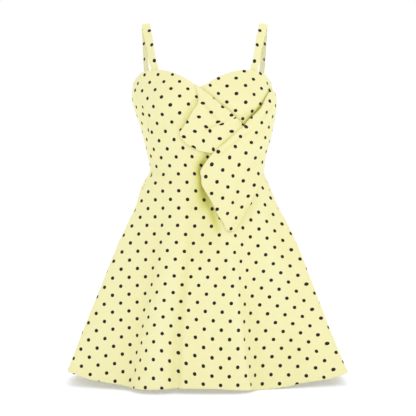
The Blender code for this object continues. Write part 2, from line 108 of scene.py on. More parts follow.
HEM_LINE = (
    HemPoint(-320, 0),
    HemPoint(-319, 50),
    HemPoint(-316, 93),
    HemPoint(-302, 99),
    HemPoint(-264, 112),
    HemPoint(-232, 123),
    HemPoint(-213, 129),
    HemPoint(-193, 136),
    HemPoint(-179, 142),
    HemPoint(-170, 150),
    HemPoint(-163, 162),
    HemPoint(-155, 174),
    HemPoint(-144, 184),
    HemPoint(-124, 190),
    HemPoint(-102, 191),
    HemPoint(-81, 188),
    HemPoint(-52, 187),
    HemPoint(-15, 188),
    HemPoint(28, 188),
    HemPoint(61, 187),
    HemPoint(78, 181),
    HemPoint(92, 171),
    HemPoint(101, 156),
    HemPoint(110, 143),
    HemPoint(121, 135),
    HemPoint(139, 129),
    HemPoint(184, 120),
    HemPoint(216, 112),
    HemPoint(248, 103),
    HemPoint(283, 93),
    HemPoint(318.5, 84),
    HemPoint(321, 45),
    HemPoint(320, 0),
)


class Fold(NamedTuple):
    """A lobe (positive depth) or trough of the skirt, growing from its start to the hem."""

    angle: float
    start: float
    depth: float
    spread: float


FOLDS = (
    Fold(-20.5, -560, -9, 2.8),
    Fold(108, -420, -13, 6),
    Fold(124, -400, 13, 7),
    Fold(143, -470, -16, 4.5),
    Fold(160, -430, 13, 8),
    Fold(180, -560, -8, 8),
    Fold(-161, -430, 11, 8),
    Fold(-145, -450, -15, 4.5),
    Fold(-127, -420, 12, 7),
    Fold(-107, -400, -12, 6),
)


class Edge(NamedTuple):
    """The height of the dress's top or bottom edge at an angle."""

    angle: float
    height: float


TOP_EDGE = (
    Edge(0, -147),
    Edge(10, -138),
    Edge(21, -126),
    Edge(33, -117),
    Edge(46, -110),
    Edge(56, -108),
    Edge(66, -110),
    Edge(76, -119),
    Edge(84, -137),
    Edge(92, -154),
    Edge(104, -164),
    Edge(120, -168),
    Edge(150, -168),
    Edge(180, -169),
)


HEM_EDGE = (
    Edge(-180, -804),
    Edge(-150, -803),
    Edge(-120, -801),
    Edge(-100, -799),
    Edge(-86, -796),
    Edge(-74, -789),
    Edge(-71, -794),
    Edge(-67, -801),
    Edge(-62, -804.5),
    Edge(-55, -808.5),
    Edge(-48, -811),
    Edge(-42, -810),
    Edge(-35, -809.5),
    Edge(-28, -808.5),
    Edge(-20, -808),
    Edge(-10, -807.5),
    Edge(8, -808.5),
    Edge(18, -810.5),
    Edge(28, -814),
    Edge(37, -818),
    Edge(47, -818.5),
    Edge(57, -814),
    Edge(62.5, -808.5),
    Edge(67.5, -805.5),
    Edge(72, -801.5),
    Edge(75, -794),
    Edge(86, -796),
    Edge(100, -799),
    Edge(120, -801),
    Edge(150, -803),
    Edge(180, -804),
)


class Seam(NamedTuple):
    """The angles of the front and the back seam of a side panel at a height."""

    height: float
    front: float
    back: float


SEAMS = (
    Seam(-110, 80, 113),
    Seam(-159, 74, 113),
    Seam(-195, 66, 112),
    Seam(-229, 66, 111),
    Seam(-263, 68, 110),
    Seam(-300, 70, 109),
    Seam(-337, 74, 108),
    Seam(-400, 77.5, 108),
    Seam(-805, 82, 110),
)


class Crease(NamedTuple):
    """A soft ridge (positive depth) or trough along a slightly bowed line on the form.

    Shade is painted into the cloth's colour in its trough and highlight on its ridge, and its tone paints
    more shade along it.
    """

    angle: float
    height: float
    end_angle: float
    end_height: float
    depth: float
    width: float
    bow: float
    tone: float = 0.0


# Their troughs are also painted with shade and their ridges with highlight.
BODY_CREASES = (
    Crease(-72, -330, -50, -341, -1.6, 6, 3),
    Crease(-76, -352, -56, -347, 1.2, 7, 2),
    Crease(-66, -205, -47, -262, -1.1, 12, 6),
    Crease(-60, -296, -34, -318, -0.9, 10, -4),
    Crease(-30, -212, -19, -300, -0.8, 14, 5),
    Crease(-75, -380, -64, -800, 1.0, 20, 4),
    Crease(-47, -430, -54, -900, -1.6, 20, -3),
    Crease(-31, -440, -32, -880, 2.8, 17, 2),
    Crease(-16, -350, -22, -900, -3.0, 9, 4),
    Crease(-2, -380, -10, -560, -1.6, 16, 2),
    Crease(3, -520, 4, -800, 1.2, 14, 5),
    Crease(20, -430, 27, -900, 2.8, 12, -3),
    Crease(29, -470, 33, -900, -1.4, 9, 2),
    Crease(40, -560, 41, -880, -1.7, 16, 4),
    Crease(58, -380, 58, -720, 1.9, 20, 3),
    Crease(60, -620, 60, -880, -1.4, 20, -3),
    Crease(66, -400, 68, -610, -1.2, 12, -4),
    Crease(84, -345, 88, -520, -2.4, 12, 4),
    Crease(92, -500, 93, -770, 2.6, 14, -5),
    Crease(-84, -345, -89, -500, -2.2, 11, -4),
    Crease(-92, -480, -94, -760, 2.4, 15, 5),
    Crease(116, -380, 118, -600, -2.2, 12, 4),
    Crease(136, -360, 134, -560, 2.0, 12, -5),
    Crease(155, -380, 157, -690, -2.4, 11, 5),
    Crease(171, -350, 172, -520, -1.8, 11, 3),
    Crease(-172, -360, -171, -590, -2.0, 12, -4),
    Crease(-156, -350, -158, -640, 2.2, 12, 4),
    Crease(-138, -380, -137, -600, -2.2, 13, -4),
    Crease(-118, -370, -117, -620, 2.4, 12, 5),
    Crease(120, -330, 146, -343, -1.7, 7, 3),
    Crease(-124, -332, -150, -341, -1.5, 7, -3),
    Crease(126, -250, 158, -268, -1.0, 9, 6),
    Crease(-130, -286, -162, -270, -1.0, 9, -5),
    Crease(96, -322, 112, -338, -1.4, 6, 2),
    Crease(-94, -326, -110, -338, -1.4, 6, -2),
    Crease(84, -200, 100, -240, -0.9, 10, 4),
    Crease(-86, -205, -100, -236, -0.9, 10, -4),
)


# Painted shadows: shade painted into the panels' colour where the bow's loop and band shade them, darkest
# along the band's edge.
BOW_SHADES = (
    Crease(9, -270, -14, -350, 0, 9, 0, 1.4),
    Crease(-9, -305, -3, -425, 0, 12, -3, 1.7),
    Crease(-2, -280, -6, -440, 0, 24, 0, 0.4),
    Crease(-1, -380, 13, -478, 0, 9, 0, 1.3),
    Crease(0, -400, 8, -520, 0, 20, 0, 0.2),
    Crease(-31, -260, 12, -302, 0, 7, 0, 0.45),
    Crease(-3, -160, -32, -258, 0, 7, 0, 0.6),
    Crease(-2, -138, -5, -192, 0, 7, 0, 0.5),
    Crease(-4, -140, 50, -242, 0, 6, 0, 0.5),
    Crease(43, -237, 85, -145, 0, 6.5, -4, 2.0),
    Crease(38, -232, 66, -198, 0, 13, -6, 0.5),
    Crease(29, -470, 64, -380, 0, 9, 4, 0.35),
)


def column(table: Sequence[NamedTuple], name: str) -> Array:
    """Returns one named column of a table as an array."""
    return np.array([getattr(row, name) for row in table], float)


def smooth_through(keys: Array, values: Array, at: Array) -> Array:
    """Reads a smooth curve that passes through given values.

    Args:
        keys: Where the values are given, rising or falling.
        values: The values there.
        at: Where the curve is read; places beyond the ends read as the ends.

    Returns:
        The curve's values.
    """
    if keys[0] > keys[-1]:
        keys = keys[::-1]
        values = values[::-1]
    slopes = np.gradient(values, keys)
    at = np.clip(np.asarray(at, float), keys[0], keys[-1])
    row = np.clip(np.searchsorted(keys, at) - 1, 0, len(keys) - 2)
    gap = keys[row + 1] - keys[row]
    t = (at - keys[row]) / gap
    rising = t * t * (3 - 2 * t)
    start_slope = t * (1 - t) ** 2 * gap * slopes[row]
    end_slope = t * t * (t - 1) * gap * slopes[row + 1]
    return (1 - rising) * values[row] + rising * values[row + 1] + start_slope + end_slope


def along(table: Sequence[NamedTuple], key: str, name: str, at: Array) -> Array:
    """Reads a table's column at any value of its key column."""
    return smooth_through(column(table, key), column(table, name), at)


def unit(vectors: Array) -> Array:
    """Returns vectors scaled to length 1."""
    return vectors / np.linalg.norm(vectors, axis=-1, keepdims=True)


def half_turn(angle: Array) -> Array:
    """Returns angles brought between -180 and 180 degrees."""
    return (angle + 180) % 360 - 180


@dataclass(frozen=True)
class WornForm:
    """The surface that the worn cloth's outer face follows, in millimetres."""

    waist_height: float = -336.0
    hem_height: float = -805.0
    hem_half_width: float = 320.0
    hem_back: float = 190.0
    ring_squareness: float = 2.2
    hem_back_squareness: float = 2.4
    waist_rounding: float = 12.0
    fold_growth: float = 1.3
    cup_angle: float = 38.0
    cup_height: float = -184.0
    cup_depth: float = 23.0
    cup_spread: float = 20.0
    cup_rise: float = 52.0
    cup_fall: float = 42.0
    notch_angle: float = -3.0
    notch_reach: float = 60.0
    # Millimetres of crease lift for each unit of painted shade or painted highlight.
    lift_per_painted_shade: float = 12.0
    bodice_rows: float = 12.0
    skirt_rows: float = 12.0
    slope_step: float = 0.5

    @property
    def rows(self) -> float:
        """Returns how many rows a panel has from its top edge to its hem."""
        return self.bodice_rows + self.skirt_rows

    @staticmethod
    def oval_radius(
        angle: Array, half_width: Array, front: Array, back: Array, squareness: float
    ) -> Array:
        """Returns the polar radius of an oval whose front and back depths may differ.

        Args:
            angle: Angles round the body, in degrees from the front.
            half_width: The oval's half width.
            front: Its depth in front.
            back: Its depth behind.
            squareness: 2 for an ellipse, more for a squarer oval.

        Returns:
            The radius at each angle.
        """
        turn = np.radians(angle)
        depth = np.where(np.cos(turn) > 0, front, back)
        sideways = np.abs(np.sin(turn) / half_width) ** squareness
        forwards = np.abs(np.cos(turn) / depth) ** squareness
        return (sideways + forwards) ** (-1 / squareness)

    def cup_lift(self, angle: Array, height: Array) -> Array:
        """Returns how far the cups stand out from the plain ring.

        Args:
            angle: Angles round the body, in degrees from the front.
            height: Heights, in millimetres.

        Returns:
            The lift at each point, in millimetres.
        """
        rise = height - self.cup_height
        reach = np.where(rise > 0, self.cup_rise, self.cup_fall)
        away = (np.abs(angle) - self.cup_angle) / self.cup_spread
        return self.cup_depth * np.exp(-(away**2) - (rise / reach) ** 2)

    def hem_radius(self, angle: Array) -> Array:
        """Returns the polar radius of the hem, through its table in front and an oval behind.

        Args:
            angle: Angles round the body, in degrees from the front.

        Returns:
            The radius at each angle, in millimetres.
        """
        across = column(HEM_LINE, "across")
        forward = column(HEM_LINE, "forward")
        turns = np.degrees(np.arctan2(across, forward))
        in_front = smooth_through(turns, np.hypot(across, forward), angle)
        sizes = (self.hem_half_width, self.hem_back, self.hem_back, self.hem_back_squareness)
        return np.where(np.cos(np.radians(angle)) > 0, in_front, self.oval_radius(angle, *sizes))

    def skirt_lift(self, angle: Array, height: Array, waist_radius: Array) -> Array:
        """Returns how far the flared skirt and its folds stand out from the waist's ring.

        Args:
            angle: Angles round the body, in degrees from the front.
            height: Heights, in millimetres.
            waist_radius: The plain ring's radius at each point.

        Returns:
            The lift at each point, in millimetres.
        """
        length = self.waist_height - self.hem_height
        fall = (self.waist_height - height) / length
        fall = (fall + np.sqrt(fall**2 + (self.waist_rounding / length) ** 2)) / 2
        lift = (self.hem_radius(angle) - waist_radius) * fall
        for fold in FOLDS:
            away = half_turn(angle - fold.angle)
            grown = np.clip((fold.start - height) / (fold.start - self.hem_height), 0, None)
            lift = lift + fold.depth * grown**self.fold_growth * np.exp(-((away / fold.spread) ** 2))
        return lift

    def radius(self, angle: Array, height: Array) -> Array:
        """Returns the polar radius of the outer face.

        Args:
            angle: Angles round the body, in degrees from the front.
            height: Heights, in millimetres.

        Returns:
            The radius at each point, in millimetres.
        """
        half_width = along(RINGS, "height", "half_width", height)
        front = along(RINGS, "height", "front", height)
        back = along(RINGS, "height", "back", height)
        plain = self.oval_radius(angle, half_width, front, back, self.ring_squareness)
        return plain + self.cup_lift(angle, height) + self.skirt_lift(angle, height, plain)

    def surface(self, angle: Array, height: Array) -> Array:
        """Returns points of the outer face.

        Args:
            angle: Angles round the body, in degrees from the front.
            height: Heights, in millimetres.

        Returns:
            The points, in millimetres.
        """
        angle = np.asarray(angle, float)
        height = np.asarray(height, float)
        reach = self.radius(angle, height)
        turn = np.radians(angle)
        x = along(RINGS, "height", "shift", height) + reach * np.sin(turn)
        return np.stack([x, -reach * np.cos(turn), height + 0 * x], axis=-1)

    def outward(self, angle: Array, height: Array) -> Array:
        """Returns the unit normals of the outer face.

        Args:
            angle: Angles round the body, in degrees from the front.
            height: Heights, in millimetres.

        Returns:
            The normals.
        """
        step = self.slope_step
        around = self.surface(angle + step, height) - self.surface(angle - step, height)
        upward = self.surface(angle, height + step) - self.surface(angle, height - step)
        return unit(np.cross(around, upward))

    def lifted(self, angle: Array, height: Array, lift: Array) -> Array:
        """Returns points that far off the outer face."""
        return self.surface(angle, height) + self.outward(angle, height) * np.asarray(lift)[..., None]

    def top_height(self, angle: Array) -> Array:
        """Returns the height of the bodice's top edge."""
        nearness = np.clip(1 - np.abs(angle) / self.notch_reach, 0, 1)
        return along(TOP_EDGE, "angle", "height", np.abs(angle - self.notch_angle * nearness))

    def row_height(self, place: Array, angle: Array) -> Array:
        """Returns the height at a place down a panel, in bodice rows and then skirt rows.

        Args:
            place: Places down the panel, in rows.
            angle: Angles round the body, in degrees from the front.

        Returns:
            The height at each place, in millimetres.
        """
        top = self.top_height(angle)
        bodice = top + (self.waist_height - top) * place / self.bodice_rows
        below = (place - self.bodice_rows) / self.skirt_rows
        hem = along(HEM_EDGE, "angle", "height", angle)
        skirt = self.waist_height + (hem - self.waist_height) * below
        return np.where(place <= self.bodice_rows, bodice, skirt)

    def row_place(self, height: float, angle: float) -> float:
        """Returns the place down a panel of a height at an angle.

        Args:
            height: The height, in millimetres.
            angle: The angle, in degrees from the front.

        Returns:
            The place, in rows.
        """
        top = float(self.top_height(np.array(angle)))
        if height > self.waist_height:
            return self.bodice_rows * (top - height) / (top - self.waist_height)
        hem = float(along(HEM_EDGE, "angle", "height", np.array(angle)))
        return self.bodice_rows + self.skirt_rows * (self.waist_height - height) / (self.waist_height - hem)

    def crease_profile(self, angle: Array, height: Array, crease: Crease) -> Array:
        """Returns a crease's share of its full depth at each point, from 0 to 1.

        Args:
            angle: Angles round the body, in degrees from the front.
            height: Heights, in millimetres.
            crease: The crease.

        Returns:
            The share at each point.
        """
        middle_angle = np.array((crease.angle + crease.end_angle) / 2)
        middle_height = np.array((crease.height + crease.end_height) / 2)
        per_degree = math.radians(1) * float(self.radius(middle_angle, middle_height))
        run_x = (crease.end_angle - crease.angle) * per_degree
        run_z = crease.end_height - crease.height
        length = math.hypot(run_x, run_z)
        away_x = half_turn(angle - crease.angle) * per_degree
        away_z = height - crease.height
        t = (away_x * run_x + away_z * run_z) / length**2
        inside = np.clip(4 * t * (1 - t), 0, 1)
        off = (away_x * run_z - away_z * run_x) / length - crease.bow * inside
        return inside * np.exp(-((off / crease.width) ** 2))

    def crease_lift(self, angle: Array, height: Array, creases: Iterable[Crease]) -> Array:
        """Returns how far a set of creases lifts the cloth at each point."""
        return sum(crease.depth * self.crease_profile(angle, height, crease) for crease in creases)

    def crease_painted_shade(self, angle: Array, height: Array, creases: Iterable[Crease]) -> Array:
        """Returns the shade that a set of creases paints into the cloth's colour at each point, painted
        highlight below 0.
        """
        tone = -self.crease_lift(angle, height, creases) / self.lift_per_painted_shade
        return tone + sum(crease.tone * self.crease_profile(angle, height, crease) for crease in creases)


FORM = WornForm()


# ---------------------------------------------------------------- flat patterns


def grid_read(values: Array, row: Array, col: Array) -> Array:
    """Reads a grid of vectors between its points, and straight on beyond its edges.

    Args:
        values: The grid, rows x columns x parts.
        row: Places down the grid, in rows.
        col: Places across it, in columns.

    Returns:
        The vectors there.
    """
    low_row = np.clip(np.floor(row).astype(int), 0, values.shape[0] - 2)
    low_col = np.clip(np.floor(col).astype(int), 0, values.shape[1] - 2)
    down = (row - low_row)[..., None]
    across = (col - low_col)[..., None]
    upper = values[low_row, low_col] * (1 - across) + values[low_row, low_col + 1] * across
    lower = values[low_row + 1, low_col] * (1 - across) + values[low_row + 1, low_col + 1] * across
    return upper * (1 - down) + lower * down


@dataclass
class FlatPattern:
    """The flat cut of a draped grid, found by relaxing springs between its points."""

    points: Array
    rounds: int = 260
    hold: float = 1e-6

    def _springs(self) -> tuple[Array, Array, Array]:
        """Returns both ends and the length of every spring along, down and across the cells."""
        rows, cols = self.points.shape[:2]
        index = np.arange(rows * cols).reshape(rows, cols)
        pairs = [
            (index[:, :-1], index[:, 1:]),
            (index[:-1], index[1:]),
            (index[:-1, :-1], index[1:, 1:]),
            (index[:-1, 1:], index[1:, :-1]),
        ]
        first = np.concatenate([pair[0].ravel() for pair in pairs])
        second = np.concatenate([pair[1].ravel() for pair in pairs])
        flat = self.points.reshape(-1, 3)
        return first, second, np.linalg.norm(flat[second] - flat[first], axis=1)

    def _first_guess(self) -> Array:
        """Returns the rows laid straight, each at its true length."""
        rows, cols = self.points.shape[:2]
        steps = np.linalg.norm(np.diff(self.points, axis=1), axis=2)
        across = np.concatenate([np.zeros((rows, 1)), np.cumsum(steps, axis=1)], axis=1)
        across = across - across[:, [cols // 2]]
        drops = np.linalg.norm(np.diff(self.points[:, cols // 2], axis=0), axis=1)
        down = np.concatenate([[0.0], np.cumsum(drops)])
        return np.stack([across, np.broadcast_to(-down[:, None], across.shape)], axis=-1)

    def relaxed(self) -> Array:
        """Returns the grid laid flat with its lengths kept as well as they can be."""
        first, second, length = self._springs()
        count = self.points.shape[0] * self.points.shape[1]
        stiffness = 1 / length
        matrix = np.zeros((count, count))
        np.add.at(matrix, (first, first), stiffness)
        np.add.at(matrix, (second, second), stiffness)
        np.add.at(matrix, (first, second), -stiffness)
        np.add.at(matrix, (second, first), -stiffness)
        matrix += np.eye(count) * self.hold * stiffness.mean()
        solver = np.linalg.inv(matrix)
        flat = self._first_guess().reshape(-1, 2)
        for _ in range(self.rounds):
            pull = flat[second] - flat[first]
            pull *= (stiffness * length / np.maximum(np.linalg.norm(pull, axis=1), TINY))[:, None]
            force = np.zeros_like(flat)
            for axis in range(2):
                drawn = pull[:, axis]
                force[:, axis] = np.bincount(second, drawn, count) - np.bincount(first, drawn, count)
            flat = solver @ force
        return flat.reshape(*self.points.shape[:2], 2)


class PrintPin(NamedTuple):
    """A place on the form under a dot of the print, and that dot's half column and row."""

    angle: float
    height: float
    column: int
    row: int


class RibPin(NamedTuple):
    """A place on a draped piece under a dot of the print, and that dot's half column and row."""

    rib: float
    across: float
    column: int
    row: int


FRONT_PINS = (
    PrintPin(75.4, -138, 10, 12),
    PrintPin(10.3, -143, 3, 11),
    PrintPin(47.3, -143, 7, 11),
    PrintPin(-7.1, -168, 1, 9),
    PrintPin(26.0, -180, 5, 9),
    PrintPin(42.9, -217, 7, 7),
    PrintPin(-63.0, -248, -5, 5),
    PrintPin(-12.3, -378, 0, -2),
    PrintPin(-71.3, -460, -8, -6),
    PrintPin(-22.5, -474, -1, -7),
    PrintPin(74.8, -535, 13, -9),
    PrintPin(-70.9, -577, -10, -12),
    PrintPin(56.3, -579, 10, -12),
    PrintPin(-56.7, -590, -7, -13),
    PrintPin(53.9, -616, 10, -14),
    PrintPin(74.6, -668, 16, -16),
    PrintPin(-29.6, -726, -3, -21),
    PrintPin(-67.7, -732, -12, -20),
    PrintPin(-47.9, -735, -7, -21),
    PrintPin(50.8, -748, 11, -21),
    PrintPin(9.7, -763, 4, -22),
    PrintPin(-61.7, -785, -11, -23),
)

LOOP_PINS = (
    RibPin(2.9, 0.24, -1, 5),
    RibPin(4.2, 0.58, 0, 4),
    RibPin(4.7, 0.23, -1, 3),
    RibPin(5.6, 0.67, 1, 3),
    RibPin(5.9, 0.72, 2, 2),
    RibPin(6.2, 0.43, 0, 2),
    RibPin(6.9, 0.23, -1, 1),
    RibPin(7.2, 0.48, 1, 1),
    RibPin(7.6, 0.79, 3, 1),
    RibPin(8.6, 0.59, 2, 0),
    RibPin(8.6, 0.30, 0, 0),
    RibPin(10.1, 0.39, 1, -1),
)

BAND_PINS = (
    RibPin(4.0, 0.00, 3, 5),
    RibPin(5.2, 0.49, 5, 3),
    RibPin(8.3, 0.23, 0, 2),
    RibPin(8.1, 0.55, 3, 1),
    RibPin(8.7, 0.73, 4, 0),
    RibPin(9.4, 0.08, -2, 2),
    RibPin(9.3, 0.42, 1, 1),
    RibPin(16.3, 0.36, -2, -4),
    RibPin(16.6, 0.73, -1, -5),
)


@dataclass(frozen=True)
class PrintPitch:
    """How far apart the print's half columns and rows are, in millimetres."""

    half_column: float = 19.5
    row: float = 19.2


PITCH = PrintPitch()


def printed_dots(pins: Sequence[Union[PrintPin, RibPin]]) -> Array:
    """Returns where the pins' dots lie on the printed cloth, in millimetres."""
    return np.stack([column(pins, "column") * PITCH.half_column, column(pins, "row") * PITCH.row], axis=1)


def pinned_to_print(flat: Array, held: Array, dots: Array) -> Array:
    """Lays a flat pattern over the printed cloth so that its pins fall on their dots.

    Args:
        flat: The pattern's points.
        held: The pattern's points at the pins.
        dots: Where the pins' dots lie on the printed cloth.

    Returns:
        The pattern's points over the print.
    """
    count = len(held)

    def bending(away: Array) -> Array:
        """Returns a thin plate's bending for squared distances."""
        return away * np.log(np.maximum(away, TINY))

    apart = ((held[:, None] - held[None]) ** 2).sum(-1)
    matrix = np.zeros((count + 3, count + 3))
    matrix[:count, :count] = bending(apart)
    matrix[:count, count] = 1
    matrix[:count, count + 1 :] = held
    matrix[count:, :count] = matrix[:count, count:].T
    weights = np.linalg.solve(matrix, np.concatenate([dots, np.zeros((3, 2))]))
    points = flat.reshape(-1, 2)
    reach = bending(((points[:, None] - held[None]) ** 2).sum(-1))
    terms = np.concatenate([reach, np.ones((len(points), 1)), points], axis=1)
    return (terms @ weights).reshape(flat.shape)


def laid_on_print(flat: Array, origin: Array, below: Array, grain: float) -> Array:
    """Turns and shifts a flat pattern over the printed cloth.

    Args:
        flat: The pattern's points.
        origin: The pattern's point that lies on a dot.
        below: A point of the pattern under that one as worn.
        grain: How far the print's rows are turned from square to that line, in degrees.

    Returns:
        The pattern's points with the dot at 0, 0.
    """
    run = below - origin
    turn = math.atan2(run[0], -run[1]) - math.radians(grain)
    cos, sin = math.cos(turn), math.sin(turn)
    moved = flat - origin
    across, down = moved[..., 0], moved[..., 1]
    return np.stack([across * cos + down * sin, down * cos - across * sin], axis=-1)


def log_cut(name: str, flat: Array) -> None:
    """Logs the size along and across the print, and the area, of a piece's flat cut.

    Args:
        name: The piece's name.
        flat: The cut's points, in rows, in millimetres.
    """
    size = flat.reshape(-1, 2).max(0) - flat.reshape(-1, 2).min(0)
    long_way = flat[1:, 1:] - flat[:-1, :-1]
    short_way = flat[1:, :-1] - flat[:-1, 1:]
    area = np.abs(long_way[..., 0] * short_way[..., 1] - long_way[..., 1] * short_way[..., 0]).sum() / 2
    LOG.info("%s: its flat cut is %.0f x %.0f mm, %.4f square metres", name, *size, area * MM**2)


# ---------------------------------------------------------------- meshes


def grid_faces(rows: int, cols: int) -> list[tuple[int, int, int, int]]:
    """Returns the quads of a grid of points, facing out when columns run to the left."""
    corners = np.arange(rows * cols).reshape(rows, cols)[:-1, :-1].ravel()
    return np.stack([corners, corners + cols, corners + cols + 1, corners + 1], axis=1).tolist()


def add_to_scene(name: str, data: bpy.types.ID) -> bpy.types.Object:
    """Returns a new object in the scene.

    Args:
        name: The object's name.
        data: What the object shows, such as a mesh.

    Returns:
        The object.
    """
    piece = bpy.data.objects.new(name, data)
    bpy.context.scene.collection.objects.link(piece)
    return piece


def write_print_map(mesh: bpy.types.Mesh, places: Array) -> None:
    """Gives every corner of a mesh its place on the printed cloth, in metres.

    Args:
        mesh: The mesh.
        places: Each point's place on the cloth, in millimetres.
    """
    layer = mesh.uv_layers.new(name=PRINT_MAP)
    corners = np.empty(len(mesh.loops), np.int32)
    mesh.loops.foreach_get("vertex_index", corners)
    layer.data.foreach_set("uv", (places.reshape(-1, 2)[corners] * MM).astype(np.float32).ravel())


def write_painted_shade(mesh: bpy.types.Mesh, tone: Array) -> None:
    """Notes on every point of a mesh how much shade is painted into the cloth's colour, or highlight below 0.
    """
    mesh.attributes.new(PAINTED_SHADE_ATTRIBUTE, "FLOAT", "POINT").data.foreach_set("value", tone.astype(np.float32).ravel())


def new_mesh(name: str, points: Array, faces: list) -> bpy.types.Mesh:
    """Returns a mesh of points given in millimetres.

    Args:
        name: The mesh's name.
        points: Its points, in millimetres.
        faces: Its faces, each a list of point numbers.

    Returns:
        The mesh, in metres.
    """
    mesh = bpy.data.meshes.new(name)
    mesh.from_pydata((points.reshape(-1, 3) * MM).tolist(), [], faces)
    return mesh


class Held(Enum):
    """How a cut piece of cloth is held on the dress."""

    HUNG = "hung"
    STRETCHED = "stretched"
    DRAPED = "draped"


def sew_on(
    piece: bpy.types.Object,
    node: str,
) -> None:
    """Puts a cloth piece in its node's place on the dress and hides the node's solid.

    Args:
        piece: The cloth piece.
        node: The solid that it stands for.
    """
    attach(piece, "dress")
    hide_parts(node)


def cloth_sheet(name: str, grid: Array, places: Array, tone: Array, thickness: float) -> bpy.types.Object:
    """Makes a thin shell on both sides of a grid of points.

    Args:
        name: The piece's name.
        grid: Points of the cloth's middle in millimetres, rows x columns x 3.
        places: Their places on the printed cloth in millimetres, rows x columns x 2.
        tone: How much shade is painted into the cloth's colour at each, or highlight below 0.
        thickness: The cloth's thickness in millimetres.

    Returns:
        The new piece.
    """
    rows, cols = grid.shape[:2]
    mesh = new_mesh(name, grid, grid_faces(rows, cols))
    mesh.shade_smooth()
    write_print_map(mesh, places)
    write_painted_shade(mesh, tone)
    piece = add_to_scene(name, mesh)
    solidify = piece.modifiers.new("Cloth", "SOLIDIFY")
    solidify.thickness = thickness * MM
    solidify.offset = 0
    solidify.material_offset = 1
    return piece


def report(piece: bpy.types.Object) -> None:
    """Logs a piece's size and how many triangles it has.

    Args:
        piece: The piece.
    """
    graph = bpy.context.evaluated_depsgraph_get()
    mesh = piece.evaluated_get(graph).to_mesh()
    triangles = sum(len(face.vertices) - 2 for face in mesh.polygons)
    size = ", ".join(f"{side / MM:.0f}" for side in piece.dimensions)
    LOG.info("%s: %s mm, %d triangles", piece.name, size, triangles)
    piece.evaluated_get(graph).to_mesh_clear()


# ---------------------------------------------------------------- shader writing


class Value:
    """A shader socket that holds a number; Python's operators add its Math nodes."""

    def __init__(self, recipe: "Recipe", socket: bpy.types.NodeSocket) -> None:
        """Wraps a socket of a recipe's tree."""
        self.recipe = recipe
        self.socket = socket

    def _math(self, operation: str, *values: Number) -> "Value":
        """Returns the result of a Math node."""
        node = self.recipe.node("ShaderNodeMath", {"operation": operation}, dict(enumerate(values)))
        return Value(self.recipe, node.outputs[0])

    def __add__(self, other: Number) -> "Value":
        """Returns the sum."""
        return self._math("ADD", self, other)

    __radd__ = __add__

    def __sub__(self, other: Number) -> "Value":
        """Returns the difference."""
        return self._math("SUBTRACT", self, other)

    def __rsub__(self, other: Number) -> "Value":
        """Returns the difference the other way round."""
        return self._math("SUBTRACT", other, self)

    def __mul__(self, other: Number) -> "Value":
        """Returns the product."""
        return self._math("MULTIPLY", self, other)

    __rmul__ = __mul__

    def __truediv__(self, other: Number) -> "Value":
        """Returns the quotient."""
        return self._math("DIVIDE", self, other)

    def fraction(self) -> "Value":
        """Returns the part after the point."""
        return self._math("FRACT", self)

    def sine(self) -> "Value":
        """Returns the sine of radians."""
        return self._math("SINE", self)

    def root(self) -> "Value":
        """Returns the square root."""
        return self._math("SQRT", self)

    def clamped(self) -> "Value":
        """Returns the value held between 0 and 1."""
        node = self.recipe.node("ShaderNodeClamp", {}, {"Value": self})
        return Value(self.recipe, node.outputs[0])


class Recipe:
    """A material under construction."""

    def __init__(self, name: str) -> None:
        """Starts a Principled material.

        Args:
            name: The material's name.
        """
        self.material = bpy.data.materials.new(name)
        self.material.use_nodes = True
        self.tree = self.material.node_tree
        self.shader = self.tree.nodes["Principled BSDF"]

    def node(
        self, kind: str, settings: dict[str, object], values: dict[Union[str, int], object]
    ) -> bpy.types.Node:
        """Adds a node.

        Args:
            kind: The node's type.
            settings: Its properties, which are set first.
            values: Numbers, colours or links for its inputs, by name or index.

        Returns:
            The new node.
        """
        node = self.tree.nodes.new(kind)
        for name, setting in settings.items():
            setattr(node, name, setting)
        for key, value in values.items():
            self.feed(node.inputs[key], value)
        return node

    def feed(self, socket: bpy.types.NodeSocket, value: object) -> None:
        """Links a value to an input, or sets the input to it.

        Args:
            socket: The input.
            value: What it is linked to, or the number or colour it is set to.
        """
        if isinstance(value, Value):
            self.tree.links.new(value.socket, socket)
        elif isinstance(value, bpy.types.NodeSocket):
            self.tree.links.new(value, socket)
        else:
            socket.default_value = value

    def surface(self, **values: object) -> None:
        """Sets or links the shader's own inputs, with spaces in their names as underscores."""
        for name, value in values.items():
            self.feed(self.shader.inputs[name.replace("_", " ")], value)

    def print_place(self) -> bpy.types.NodeSocket:
        """Returns the place on the printed cloth, in metres."""
        return self.node("ShaderNodeUVMap", {"uv_map": PRINT_MAP}, {}).outputs[0]

    def split(self, vector: bpy.types.NodeSocket) -> tuple[Value, Value, Value]:
        """Returns a vector's three parts."""
        node = self.node("ShaderNodeSeparateXYZ", {}, {0: vector})
        return tuple(Value(self, output) for output in node.outputs)

    def mixed(self, factor: Number, first: object, second: object) -> bpy.types.NodeSocket:
        """Returns a blend of two colours."""
        node = self.node("ShaderNodeMix", {"data_type": "RGBA"}, {0: factor, 6: first, 7: second})
        return node.outputs[2]

    def noise(self, vector: bpy.types.NodeSocket, pitch: float, detail: float = 2.0) -> Value:
        """Returns smooth noise from 0 to 1 with features of about a size in metres."""
        values = {"Vector": vector, "Scale": 1 / pitch, "Detail": detail}
        return Value(self, self.node("ShaderNodeTexNoise", {"noise_dimensions": "3D"}, values).outputs[0])

    def bump(self, height: Value, distance: float, strength: float) -> bpy.types.NodeSocket:
        """Returns normals raised by a height of 0 to 1 over a distance in metres."""
        values = {"Strength": strength, "Distance": distance, "Height": height}
        return self.node("ShaderNodeBump", {}, values).outputs[0]


